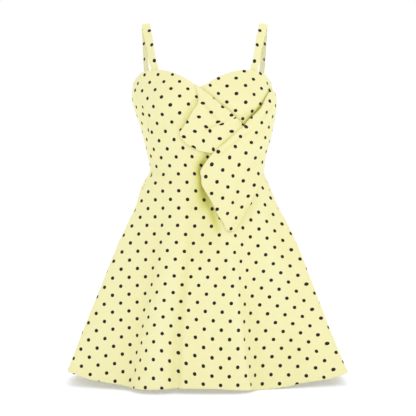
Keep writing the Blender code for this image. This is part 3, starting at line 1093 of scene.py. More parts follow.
@dataclass(frozen=True)
class DottedCotton:
    """Firm plain-weave cotton with staggered printed dots."""

    cloth: Colour = (0.795, 0.756, 0.382, 1)
    pale: Colour = (0.837, 0.801, 0.458, 1)
    # The next three colours are painted highlight, painted shade and darker painted shade.
    lit: Colour = (0.885, 0.852, 0.562, 1)
    painted_shade_colour: Colour = (0.67, 0.64, 0.20, 1)
    painted_dark_shade_colour: Colour = (0.42, 0.405, 0.07, 1)
    ink: Colour = (0.012, 0.011, 0.008, 1)
    dot_width: float = 0.0083
    half_column: float = PITCH.half_column * MM
    row: float = PITCH.row * MM
    edge_softness: float = 0.0005
    edge_wander: float = 0.0004
    edge_grain: float = 0.0012
    yarn: float = 0.00055
    slub: float = 0.0035
    slub_detail: float = 3.0
    cloud: float = 0.06
    slub_share: float = 0.7
    cloud_share: float = 0.5
    weave_share: float = 0.12
    tone_shift: float = 0.2
    weave_relief: float = 0.6
    relief: float = 0.00012
    relief_strength: float = 0.5
    roughness: float = 0.86
    specular: float = 0.3
    sheen: float = 0.12
    sheen_roughness: float = 0.5

    def _dots(self, recipe: Recipe, u: Value, v: Value, place: bpy.types.NodeSocket) -> Value:
        """Returns 1 on the printed dots and 0 between them.

        Args:
            recipe: The material's recipe.
            u: The place across the print.
            v: The place down the print.
            place: The coordinates that the noise reads.

        Returns:
            The mask.
        """
        rising = (u / (2 * self.half_column) + v / (2 * self.row) + 0.5).fraction() - 0.5
        falling = (v / (2 * self.row) - u / (2 * self.half_column) + 0.5).fraction() - 0.5
        across = (rising - falling) * self.half_column
        down = (rising + falling) * self.row
        away = (across * across + down * down).root()
        away = away + (recipe.noise(place, self.edge_grain) - 0.5) * self.edge_wander
        return ((self.dot_width / 2 - away) / self.edge_softness + 0.5).clamped()

    def _weave(self, u: Value, v: Value) -> Value:
        """Returns the relief of the plain weave, from 0 to 1.

        Args:
            u: The place across the print.
            v: The place down the print.

        Returns:
            The relief.
        """
        turn = math.pi / self.yarn
        over_under = (u * turn).sine() * (v * turn).sine()
        return over_under * 0.5 + 0.5

    def material(self, name: str, shaded: bool) -> bpy.types.Material:
        """Returns the cotton, which reads the print map.

        Args:
            name: The material's name.
            shaded: Whether folds paint shade and highlight into the cloth's colour, as on the outer face.

        Returns:
            The material.
        """
        recipe = Recipe(name)
        place = recipe.print_place()
        u, v, _ = recipe.split(place)
        dots = self._dots(recipe, u, v, place)
        slubs = recipe.noise(place, self.slub, self.slub_detail)
        clouds = recipe.noise(place, self.cloud)
        weave = self._weave(u, v)
        mottle = slubs * self.slub_share + clouds * self.cloud_share + weave * self.weave_share
        tone = (mottle - self.tone_shift).clamped()
        noted = recipe.node("ShaderNodeAttribute", {"attribute_name": PAINTED_SHADE_ATTRIBUTE}, {})
        painted_shade = Value(recipe, noted.outputs["Fac"])
        ground = recipe.mixed(tone, self.cloth, self.pale)
        # Painted highlight where the shade attribute is below 0, painted shade and then darker painted shade
        # above it.
        if shaded:
            ground = recipe.mixed((painted_shade * -1).clamped(), ground, self.lit)
            ground = recipe.mixed(painted_shade.clamped(), ground, self.painted_shade_colour)
            ground = recipe.mixed((painted_shade - 1).clamped(), ground, self.painted_dark_shade_colour)
        recipe.surface(
            Base_Color=recipe.mixed(dots, ground, self.ink),
            Roughness=self.roughness,
            Normal=recipe.bump(weave * self.weave_relief + slubs, self.relief, self.relief_strength),
            Specular_IOR_Level=self.specular,
            Sheen_Weight=self.sheen,
            Sheen_Roughness=self.sheen_roughness,
        )
        return recipe.material


@dataclass(frozen=True)
class WovenTape:
    """The plain herringbone tape of a zip."""

    colour: Colour = (0.80, 0.77, 0.42, 1)
    dark: Colour = (0.70, 0.67, 0.34, 1)
    rib: float = 0.0009
    relief: float = 0.00015
    relief_strength: float = 0.6
    roughness: float = 0.7

    def material(self, name: str) -> bpy.types.Material:
        """Returns the tape, which reads the print map.

        Args:
            name: The material's name.

        Returns:
            The material.
        """
        recipe = Recipe(name)
        place = recipe.print_place()
        u, v, _ = recipe.split(place)
        turn = 2 * math.pi / self.rib
        ribs = ((u + v) * turn).sine() * 0.5 + 0.5
        recipe.surface(
            Base_Color=recipe.mixed(ribs, self.dark, self.colour),
            Roughness=self.roughness,
            Normal=recipe.bump(ribs, self.relief, self.relief_strength),
        )
        return recipe.material


@dataclass(frozen=True)
class Lacquer:
    """Lemon lacquer over cast metal, rubbed bright where fingers take hold."""

    colour: Colour = (0.80, 0.755, 0.36, 1)
    worn: Colour = (0.86, 0.83, 0.55, 1)
    roughness: float = 0.28
    roughness_spread: float = 0.18
    metallic: float = 0.25
    speck: float = 0.0012
    speck_detail: float = 3.0
    rub: float = 0.006
    rub_contrast: float = 1.6
    rub_shift: float = 0.4
    relief: float = 0.00004
    relief_strength: float = 0.4

    def material(self, name: str) -> bpy.types.Material:
        """Returns the lacquer.

        Args:
            name: The material's name.

        Returns:
            The material.
        """
        recipe = Recipe(name)
        place = recipe.node("ShaderNodeTexCoord", {}, {}).outputs["Object"]
        specks = recipe.noise(place, self.speck, self.speck_detail)
        rubbed = (recipe.noise(place, self.rub) * self.rub_contrast - self.rub_shift).clamped()
        recipe.surface(
            Base_Color=recipe.mixed(rubbed, self.colour, self.worn),
            Roughness=specks * self.roughness_spread + self.roughness,
            Metallic=self.metallic,
            Normal=recipe.bump(specks, self.relief, self.relief_strength),
        )
        return recipe.material


# ---------------------------------------------------------------- the panels


class SeamEnd(Enum):
    """Which of a panel's seams a line is."""

    FRONT = "front"
    BACK = "back"
    CENTRE_BACK = "centre_back"


class SeamLine(NamedTuple):
    """A seam, on the wearer's right (-1) or left (1)."""

    end: SeamEnd
    side: int

    def angle(self, height: Array) -> Array:
        """Returns the seam's angle at a height.

        Args:
            height: Heights, in millimetres.

        Returns:
            The angle at each height, in degrees.
        """
        if self.end is SeamEnd.CENTRE_BACK:
            return self.side * 180.0 + 0 * height
        return self.side * along(SEAMS, "height", self.end.value, height)


class PrintAnchor(NamedTuple):
    """A place on the form where a dot lies, and the print's turn there in degrees."""

    angle: float
    height: float
    grain: float


class FoldedRow(NamedTuple):
    """A row of points on a folded edge: how far from the edge, its depth, how far along."""

    inward: float
    depth: float
    run: float


@dataclass(frozen=True)
class Turning:
    """An edge folded inside, as a section across it in millimetres."""

    width: float
    cloth: float = 0.6
    bend: float = 0.45
    steps: int = 4
    shares: tuple[float, ...] = (1.0, 0.66, 0.33, 0.08)

    def section(self) -> list[FoldedRow]:
        """Returns the rows from the inner raw edge round the fold to the outer face."""
        middle = self.cloth / 2
        rows = []
        for share in self.shares:
            reach = self.width * share
            rows.append(FoldedRow(reach + self.bend, middle + 2 * self.bend, -reach))
        for step in range(self.steps + 1):
            turn = math.pi * step / self.steps
            inward = self.bend * (1 - math.sin(turn))
            rows.append(FoldedRow(inward, middle + self.bend * (1 + math.cos(turn)), 0.0))
        return rows


class Pucker(NamedTuple):
    """An uneven stretch of stitching: its share of a seam's dip, its wave and its shift."""

    share: float
    wave: float
    shift: float


@dataclass(frozen=True)
class Panel:
    """One full-length panel between two seams, from the top edge to the hem."""

    name: str
    low: SeamLine
    high: SeamLine
    columns: int
    flat: tuple[float, float]
    area: float
    anchor: PrintAnchor = PrintAnchor(0, -230, 0)
    pins: tuple[PrintPin, ...] = ()
    through_notch: bool = False
    rows: int = 200
    cloth: float = 0.6
    seam_gap: float = 0.4
    seam_bend: float = 0.9
    seam_dip: float = 0.9
    seam_dip_width: float = 4.5
    seam_turns: tuple[float, ...] = (0, 30, 60, 90)
    puckers: tuple[Pucker, ...] = (Pucker(0.25, 4.7, 0.0), Pucker(0.2, 11.3, 1.3))
    top_turning: Turning = Turning(9.0)
    hem_turning: Turning = Turning(22.0)
    cloth_per_row: float = 15.0
    anchor_drop: float = 12.0
    angle_rounds: int = 6
    pattern_rows: int = 45
    pattern_columns: int = 15

    def angles(self, place: Array, across: Array, inward: Array) -> Array:
        """Returns the angles of a grid of points.

        Args:
            place: Places down the panel, a column of rows.
            across: Places across it from 0 to 1.
            inward: Millimetres in from the low seam (positive) or the high one (negative).

        Returns:
            The angle of each point.
        """
        height = np.full(np.broadcast(place, across).shape, FORM.waist_height)
        angle = self._between(height, across, inward, np.zeros(height.shape) + self.low.angle(height))
        for _ in range(self.angle_rounds):
            height = FORM.row_height(place, angle)
            angle = self._between(height, across, inward, angle)
        return angle

    def _between(self, height: Array, across: Array, inward: Array, angle: Array) -> Array:
        """Returns angles between the seams at given heights.

        Args:
            height: Heights, in millimetres.
            across: Places across the panel, from 0 at its low seam to 1.
            inward: How far each point is moved round the body, in millimetres.
            angle: Angles at which the radius is read.

        Returns:
            The angle of each point, in degrees.
        """
        per_mm = np.degrees(1 / FORM.radius(angle, height))
        low = self.low.angle(height) + self.seam_gap / 2 * per_mm
        high = self.high.angle(height) - self.seam_gap / 2 * per_mm
        if self.through_notch:
            first = low + (FORM.notch_angle - low) * across * 2
            second = FORM.notch_angle + (high - FORM.notch_angle) * (across * 2 - 1)
            between = np.where(across < 0.5, first, second)
        else:
            between = low + (high - low) * across
        return between + inward * per_mm

    def _rows(self) -> tuple[Array, Array, Array, Array]:
        """Returns for each row its place, its millimetres past an edge, its depth and its run."""
        top = self.top_turning.section()
        hem = self.hem_turning.section()[::-1]
        middle = list(np.linspace(0, FORM.rows, self.rows)[1:-1])
        still = [0.0] * len(middle)
        place = [0.0] * len(top) + middle + [FORM.rows] * len(hem)
        past = [-row.inward for row in top] + still + [row.inward for row in hem]
        outer = [self.cloth / 2] * len(middle)
        depth = [row.depth for row in top] + outer + [row.depth for row in hem]
        run = [row.run for row in top] + still + [-row.run for row in hem]
        return tuple(np.array(part)[:, None] for part in (place, past, depth, run))

    def _columns(self) -> tuple[Array, Array, Array]:
        """Returns for each column its place across, its millimetres in and its added depth."""
        bend = self.seam_bend
        turns = np.radians(self.seam_turns)
        inward = [0.0] + list(bend * (1 - np.cos(turns)))
        depth = [bend + self.cloth] + list(bend * (1 - np.sin(turns)))
        middle = np.linspace(0, 1, self.columns)[1:-1]
        place = [0.0] * len(inward) + list(middle) + [1.0] * len(inward)
        inwards = inward + [0.0] * len(middle) + [-mm for mm in reversed(inward)]
        depths = depth + [0.0] * len(middle) + list(reversed(depth))
        return tuple(np.array(part)[None, :] for part in (place, inwards, depths))

    def _seam_dip(self, angle: Array, height: Array) -> Array:
        """Returns the shallow valley that a seam draws into the cloth beside it.

        Args:
            angle: Angles round the body, in degrees from the front.
            height: Heights, in millimetres.

        Returns:
            How far out the cloth moves, in millimetres, negative in the valley.
        """
        dip = np.zeros(angle.shape)
        uneven = 1.0
        for pucker in self.puckers:
            uneven = uneven + pucker.share * np.sin(height / pucker.wave + pucker.shift)
        for seam in (self.low, self.high):
            away = np.radians(angle - seam.angle(height)) * FORM.radius(angle, height)
            dip = dip - self.seam_dip * uneven * np.exp(-((away / self.seam_dip_width) ** 2))
        return dip

    def _pattern(self) -> Array:
        """Returns the flat pattern over the printed cloth, as a coarse grid."""
        place = np.linspace(0, FORM.rows, self.pattern_rows)[:, None]
        across = np.linspace(0, 1, self.pattern_columns)[None, :]
        angle = self.angles(place, across, np.zeros(across.shape))
        flat = FlatPattern(FORM.surface(angle, FORM.row_height(place, angle))).relaxed()
        log_cut(self.name, flat)
        if self.pins:
            held = np.array([self._read(flat, pin.angle, pin.height) for pin in self.pins])
            return pinned_to_print(flat, held, printed_dots(self.pins))
        origin = self._read(flat, self.anchor.angle, self.anchor.height)
        below = self._read(flat, self.anchor.angle, self.anchor.height - self.anchor_drop)
        return laid_on_print(flat, origin, below, self.anchor.grain)

    def _read(self, flat: Array, angle: float, height: float) -> Array:
        """Returns the pattern's point at an angle and height.

        Args:
            flat: The pattern's points.
            angle: The angle, in degrees from the front.
            height: The height, in millimetres.

        Returns:
            The point.
        """
        low = float(self.low.angle(np.array(height)))
        high = float(self.high.angle(np.array(height)))
        if not self.through_notch:
            across = (angle - low) / (high - low)
        elif angle < FORM.notch_angle:
            across = (angle - low) / (FORM.notch_angle - low) / 2
        else:
            across = 0.5 + (angle - FORM.notch_angle) / (high - FORM.notch_angle) / 2
        row = self._pattern_row(np.array(FORM.row_place(height, angle)))
        return grid_read(flat, row, np.array(across * (self.pattern_columns - 1)))

    def _pattern_row(self, place: Array) -> Array:
        """Returns the pattern's row at a place down the panel."""
        return place / FORM.rows * (self.pattern_rows - 1)

    def build(self) -> bpy.types.Object:
        """Makes the panel with its turned edges."""
        place, past, depth, run = self._rows()
        across, inward, sunk = self._columns()
        angle = self.angles(place, across, inward)
        height = FORM.row_height(place, angle) + past
        lift = FORM.crease_lift(angle, height, BODY_CREASES) + self._seam_dip(angle, height)
        grid = FORM.lifted(angle, height, lift - depth - sunk)
        row = self._pattern_row(place + run / self.cloth_per_row) + 0 * across
        col = across * (self.pattern_columns - 1) + 0 * place
        # Painted shade in the creases' troughs and in the bow's shadows, painted highlight on ridges.
        tone = FORM.crease_painted_shade(angle, height, BODY_CREASES + BOW_SHADES)
        places = grid_read(self._pattern(), row, col)
        piece = cloth_sheet(self.name + "_cloth", grid, places, tone, self.cloth)
        sew_on(piece, self.name)
        return piece


FRONT_RIGHT = SeamLine(SeamEnd.FRONT, -1)
FRONT_LEFT = SeamLine(SeamEnd.FRONT, 1)
BACK_RIGHT = SeamLine(SeamEnd.BACK, -1)
BACK_LEFT = SeamLine(SeamEnd.BACK, 1)
CENTRE_RIGHT = SeamLine(SeamEnd.CENTRE_BACK, -1)
CENTRE_LEFT = SeamLine(SeamEnd.CENTRE_BACK, 1)


class PanelCut(NamedTuple):
    """What a pair of panels shares: its columns, and its cut's size and area in metres."""

    columns: int
    flat: tuple[float, float]
    area: float


SIDE_CUT = PanelCut(44, (0.21, 0.745), 0.10)
BACK_CUT = PanelCut(84, (0.345, 0.70), 0.16)


@dataclass(frozen=True)
class Panels:
    """The five panels of the dress."""

    front: Panel = Panel(
        name="front",
        low=FRONT_RIGHT,
        high=FRONT_LEFT,
        columns=170,
        flat=(0.78, 0.77),
        area=0.375,
        pins=FRONT_PINS,
        through_notch=True,
        pattern_columns=41,
    )
    side_right: Panel = Panel("side_right", BACK_RIGHT, FRONT_RIGHT, *SIDE_CUT, PrintAnchor(-90, -230, 0))
    side_left: Panel = Panel("side_left", FRONT_LEFT, BACK_LEFT, *SIDE_CUT, PrintAnchor(90, -230, 0))
    back_right: Panel = Panel(
        "back_right", CENTRE_RIGHT, BACK_RIGHT, *BACK_CUT, PrintAnchor(-150, -230, -9)
    )
    back_left: Panel = Panel("back_left", BACK_LEFT, CENTRE_LEFT, *BACK_CUT, PrintAnchor(150, -230, 0))

    def build(self) -> list[bpy.types.Object]:
        """Makes all five panels."""
        panels = (self.front, self.side_right, self.side_left, self.back_right, self.back_left)
        return [panel.build() for panel in panels]


# ---------------------------------------------------------------- the straps


class StrapRow(NamedTuple):
    """A section of the strap between its tucked ends, for the wearer's left shoulder."""

    across: float
    depth: float
    height: float
    turn: float


STRAP_ROWS = (
    StrapRow(116.5, -56, -90, 33),
    StrapRow(120.3, -48, -66, 39),
    StrapRow(124.5, -38, -44, 33),
    StrapRow(129, -27, -25, 22),
    StrapRow(132.3, -15, -10.5, 13),
    StrapRow(133.6, -3, -3.4, 8),
    StrapRow(134, 9, -4.4, 9),
    StrapRow(134.8, 23, -13, 24),
    StrapRow(136, 37, -35, 44),
    StrapRow(136.3, 49, -60, 55),
    StrapRow(135.8, 58, -88, 60),
    StrapRow(133, 64, -116, 57),
    StrapRow(128.5, 68, -140, 48),
)


@dataclass(frozen=True)
class Strap:
    """A self-fabric shoulder strap, a flat tube tucked behind the top edges."""

    name: str
    side: int
    front_angle: float
    back_angle: float
    anchor_along: float
    anchor_across: float
    midline: float = -1.0
    width: float = 19.5
    crown: float = 0.9
    steps: tuple[float, ...] = (-0.5, -0.27, 0, 0.27, 0.5)
    cut: tuple[float, float] = (0.0205, 0.37)
    tuck: float = 14.0
    gap: float = 0.75
    clear: float = 4.0
    panel_wall: float = 1.5
    wall: float = 1.6
    front_base: tuple[float, float] = (115.0, -60.0)
    back_base: tuple[float, float] = (123.0, 70.0)
    columns: int = 29
    rows: int = 150
    # Painted highlight that lightens the inner face of the strap's back half out of its shade.
    back_painted_light: float = -1.0

    def _section(self) -> Array:
        """Returns the offsets (sideways, outward) across the strap, from its outer edge inward."""
        steps = np.array(self.steps)
        return np.stack([self.width * steps, self.crown * (1 - 4 * steps**2)], axis=1)

    def _tucked_row(self, angle: float, height: float) -> Array:
        """Returns a section that lies flat just inside a panel.

        Args:
            angle: The angle, in degrees from the front.
            height: The height, in millimetres.

        Returns:
            The section's points.
        """
        inset = -(self.panel_wall + self.gap + self.wall / 2)
        offsets = self._section()[:, 0]
        reach = np.linalg.norm(FORM.surface(angle + 0.5, height) - FORM.surface(angle - 0.5, height))
        inwards = -self.side if abs(angle) < 90 else self.side
        angles = angle + inwards * offsets / reach
        return FORM.lifted(angles, np.full(angles.shape, height), np.full(angles.shape, inset))

    def _places(self, front: Array, back: Array) -> Array:
        """Returns the middles of the free sections, drawn towards where the strap is sewn on.

        Args:
            front: Where the strap is sewn on in front.
            back: Where it is sewn on behind.

        Returns:
            The middles, one for each row.
        """
        places = []
        for row in STRAP_ROWS:
            place = np.array([row.across * self.side + self.midline, row.depth, row.height])
            base, plain = (front, self.front_base) if row.depth < 0 else (back, self.back_base)
            away = base[:2] - np.array([plain[0] * self.side + self.midline, plain[1]])
            place[:2] += away * (row.height / base[2]) ** 2
            places.append(place)
        return np.array(places)

    def _free_row(self, row: StrapRow, centre: Array, ahead: Array) -> Array:
        """Returns a section in the air, square to the strap's run.

        Args:
            row: The strap's row.
            centre: The section's middle.
            ahead: The strap's direction there.

        Returns:
            The section's points.
        """
        level = unit(np.cross(ahead, np.array([self.side, 0.0, 0.0])))
        level = level * np.sign(level[2])
        turn = math.radians(row.turn)
        outwards = np.cross(level, ahead)
        outwards = outwards * np.sign(outwards[0] * self.side)
        normal = level * math.cos(turn) + outwards * math.sin(turn)
        inwards = level * math.sin(turn) - outwards * math.cos(turn)
        return np.array([centre + inwards * u + normal * w for u, w in self._section()])

    def _sections(self) -> Array:
        """Returns the sections from inside the front to inside the back."""
        rows = []
        front_top = float(FORM.top_height(np.array(self.front_angle)))
        back_top = float(FORM.top_height(np.array(self.back_angle)))
        for drop in (self.tuck, self.tuck / 2, -self.clear):
            rows.append(self._tucked_row(self.front_angle, front_top - drop))
        front = FORM.surface(self.front_angle, front_top)
        places = self._places(front, FORM.surface(self.back_angle, back_top))
        for row, place, run in zip(STRAP_ROWS, places, np.gradient(places, axis=0)):
            rows.append(self._free_row(row, place, unit(run)))
        for drop in (-self.clear, self.tuck / 2, self.tuck):
            rows.append(self._tucked_row(self.back_angle, back_top - drop))
        return np.array(rows)

    @staticmethod
    def _finer(grid: Array, axis: int, count: int) -> Array:
        """Returns a grid read on smooth curves along one axis, by the distance run.

        Args:
            grid: The grid of points.
            axis: The axis along which it is read.
            count: How many places it then has along that axis.

        Returns:
            The finer grid.
        """
        moved = np.moveaxis(grid, axis, 0)
        steps = np.linalg.norm(np.diff(moved, axis=0), axis=2).mean(1)
        keys = np.concatenate([[0.0], np.cumsum(steps)])
        at = np.linspace(0, keys[-1], count)
        flat = moved.reshape(len(keys), -1)
        finer = np.stack([smooth_through(keys, flat[:, part], at) for part in range(flat.shape[1])], axis=1)
        return np.moveaxis(finer.reshape(count, *moved.shape[1:]), 0, axis)

    def build(self) -> bpy.types.Object:
        """Makes the strap as a flat tube with rounded edges."""
        middle = self._finer(self._finer(self._sections(), 0, self.rows), 1, self.columns)
        if self.side < 0:
            middle = middle[:, ::-1]
        ahead = np.gradient(middle, axis=0)
        across = np.gradient(middle, axis=1)
        normal = unit(np.cross(ahead, across))
        steps = np.linalg.norm(np.diff(middle, axis=1), axis=2)
        widths = np.concatenate([np.zeros((self.rows, 1)), np.cumsum(steps, axis=1)], axis=1)
        runs = np.linalg.norm(np.diff(middle[:, self.columns // 2], axis=0), axis=1)
        lengths = np.concatenate([[0.0], np.cumsum(runs)])
        half = self.wall / 2
        edge = np.minimum(widths, widths[:, -1:] - widths)
        rounded = half * np.sqrt(np.clip(1 - np.clip(1 - edge / half, 0, 1) ** 2, 0, 1))[..., None]
        front = middle + normal * rounded
        back = middle - normal * rounded
        loop = np.concatenate([front, back[:, -2:0:-1]], axis=1)
        loop_widths = np.concatenate([widths, widths[:, -1:] + widths[:, 1:-1]], axis=1)
        u = loop_widths - self.anchor_across
        v = np.broadcast_to(-(lengths - self.anchor_along)[:, None], u.shape)
        piece = self._tube(loop, np.stack([u, v], axis=-1))
        sew_on(piece, self.name)
        return piece

    def _tube(self, loop: Array, places: Array) -> bpy.types.Object:
        """Returns the mesh of the strap's closed sections with flat ends.

        Args:
            loop: The sections' points, one section to a row.
            places: Each point's place on the cloth.

        Returns:
            The strap.
        """
        rows, cols = loop.shape[:2]
        index = np.arange(rows * cols).reshape(rows, cols)
        after = np.roll(index, -1, axis=1)
        faces = np.stack([index[:-1], index[1:], after[1:], after[:-1]], axis=-1).reshape(-1, 4).tolist()
        faces.append(index[0].tolist())
        faces.append(index[-1][::-1].tolist())
        mesh = new_mesh(self.name, loop, faces)
        mesh.shade_smooth()
        write_print_map(mesh, places)
        # Painted light: the inner face of the back half is lightened where it would fall in shade.
        behind = np.clip(np.linspace(-2, 2, rows), 0, 1)[:, None]
        inside = (np.arange(cols) >= self.columns)[None, :]
        write_painted_shade(mesh, (self.back_painted_light * behind * inside).ravel())
        return add_to_scene(self.name + "_cloth", mesh)


@dataclass(frozen=True)
class Straps:
    """Both shoulder straps."""

    right: Strap = Strap("strap_right", -1, -60.3, -121, 114.0, 4.25)
    left: Strap = Strap("strap_left", 1, 64.7, 119, 114.0, 15.25)

    def build(self) -> list[bpy.types.Object]:
        """Makes both straps."""
        return [self.right.build(), self.left.build()]


# ---------------------------------------------------------------- the half bow


class Rib(NamedTuple):
    """A line across a draped piece and its lift off the body, from edge to edge."""

    left_angle: float
    left_height: float
    right_angle: float
    right_height: float
    left_lift: float
    middle_lift: float
    side_lift: float
    right_lift: float


BOW_LOOP = (
    Rib(-9.5, -143, -4, -147, 1.5, 1.7, 1.7, 1.5),
    Rib(-6, -158, 3, -156, 2.2, 3.4, 3.4, 2.6),
    Rib(-4, -171, 11, -168, 4.0, 5.4, 5.4, 4.2),
    Rib(-5, -184, 20, -185, 4.6, 6.2, 6.2, 4.6),
    Rib(-11, -199, 27, -198, 4.6, 6.2, 6.2, 4.6),
    Rib(-18, -220, 34, -212, 4.8, 5.6, 5.6, 4.6),
    Rib(-25, -238, 41, -224, 4.8, 5.4, 5.4, 4.4),
    Rib(-29, -249, 47, -234, 4.6, 5.4, 5.0, 4.0),
    Rib(-26, -264, 50, -245, 4.6, 5.4, 4.6, 1.5),
    Rib(-20, -275, 47, -260, 4.6, 5.2, 4.6, 1.5),
    Rib(-6, -288, 36, -278, 4.4, 4.8, 4.0, 1.5),
    Rib(10, -294, 25, -292, 3.0, 2.4, 2.0, 1.5),
)

BOW_BAND = (
    Rib(76.5, -154, 106, -172, 4.0, 5.5, 6.0, 1.5),
    Rib(69, -170, 106, -186, 6.0, 9.0, 11.5, 1.5),
    Rib(62, -194, 106, -206, 7.0, 12.0, 14.0, 1.5),
    Rib(51, -216, 106, -226, 8.0, 12.5, 14.0, 1.5),
    Rib(46.5, -232, 106, -246, 9.0, 12.5, 13.0, 1.5),
    Rib(39, -248, 105, -264, 9.2, 12.0, 11.5, 1.5),
    Rib(31.5, -264, 104, -281, 9.2, 11.5, 9.0, 1.5),
    Rib(22, -279, 103, -297, 9.0, 10.5, 6.0, 1.5),
    Rib(12, -294, 101, -311, 8.5, 9.5, 4.0, 1.7),
    Rib(3, -311, 98, -323, 8.0, 8.5, 3.2, 2.0),
    Rib(-4, -327, 90, -332, 8.0, 8.0, 3.0, 2.2),
    Rib(-6, -337, 78.5, -338, 8.5, 7.5, 3.2, 2.6),
    Rib(-4, -349, 70, -350, 9.5, 8.0, 4.0, 3.0),
    Rib(-2.5, -365, 62.5, -370, 10.0, 8.5, 5.0, 4.0),
    Rib(3, -383, 55.5, -390, 10.0, 8.5, 5.5, 4.5),
    Rib(8, -402, 48.5, -411, 9.5, 8.5, 6.0, 5.0),
    Rib(11.5, -420, 41.5, -430, 9.0, 8.0, 6.0, 5.0),
    Rib(15, -437, 34, -449, 8.0, 7.5, 6.0, 5.0),
    Rib(18, -449, 29, -460, 6.5, 6.5, 6.0, 5.0),
    Rib(20.5, -466, 24.5, -468, 5.5, 5.5, 5.5, 5.0),
)

# Their troughs are also painted darker and their ridges lighter; rows with a tone paint more shade, darkest
# along the band's edge over the loop.
LOOP_CREASES = (
    Crease(-3, -168, 22, -227, -1.3, 3.5, 2, 0.3),
    Crease(-4, -248, 31, -215, -1.3, 2.6, 0, 0.35),
    Crease(4, -252, 32, -226, 1.0, 5, 0),
    Crease(5, -216, 0, -262, -0.7, 8, -3),
    Crease(24, -195, 40, -228, 0.8, 6, 2),
    Crease(-5, -170, -14, -226, -0.8, 6, -2),
    Crease(54, -226, 6, -306, 0, 5.5, 0, 1.7),
    Crease(36, -216, 54, -250, 0, 8, 0, 0.6),
)

# Their troughs are also painted darker and their ridges lighter; rows with a tone paint more shade.
BAND_CREASES = (
    Crease(56, -232, 14, -302, -1.5, 4.0, -3, 0.25),
    Crease(60, -208, 22, -290, 0.9, 5, -3),
    Crease(78, -182, 60, -226, -1.6, 5, 4, 0.2),
    Crease(88, -214, 40, -300, -1.4, 12, 6),
    Crease(72, -262, 30, -330, 1.3, 12, 5),
    Crease(80, -300, 46, -345, -1.6, 9, 4),
    Crease(20, -330, 34, -400, 1.3, 10, -4),
    Crease(42, -340, 30, -440, -1.4, 9, 3),
    Crease(2, -345, 14, -420, -0.9, 6, 2),
    Crease(20, -470, 66, -375, 0, 7, 2, 0.25),
)


class Tuck(NamedTuple):
    """A tuck along a line on the form, and the strip of print that it hides below the line."""

    angle: float
    height: float
    end_angle: float
    end_height: float
    hidden_across: float
    hidden_down: float
    width: float = 3.0
    opening: float = 0.35


LOOP_TUCK = Tuck(-8, -250, 31, -214, 13.0, -13.7)
NO_TUCK = Tuck(-8, -250, 31, -214, 0, 0)


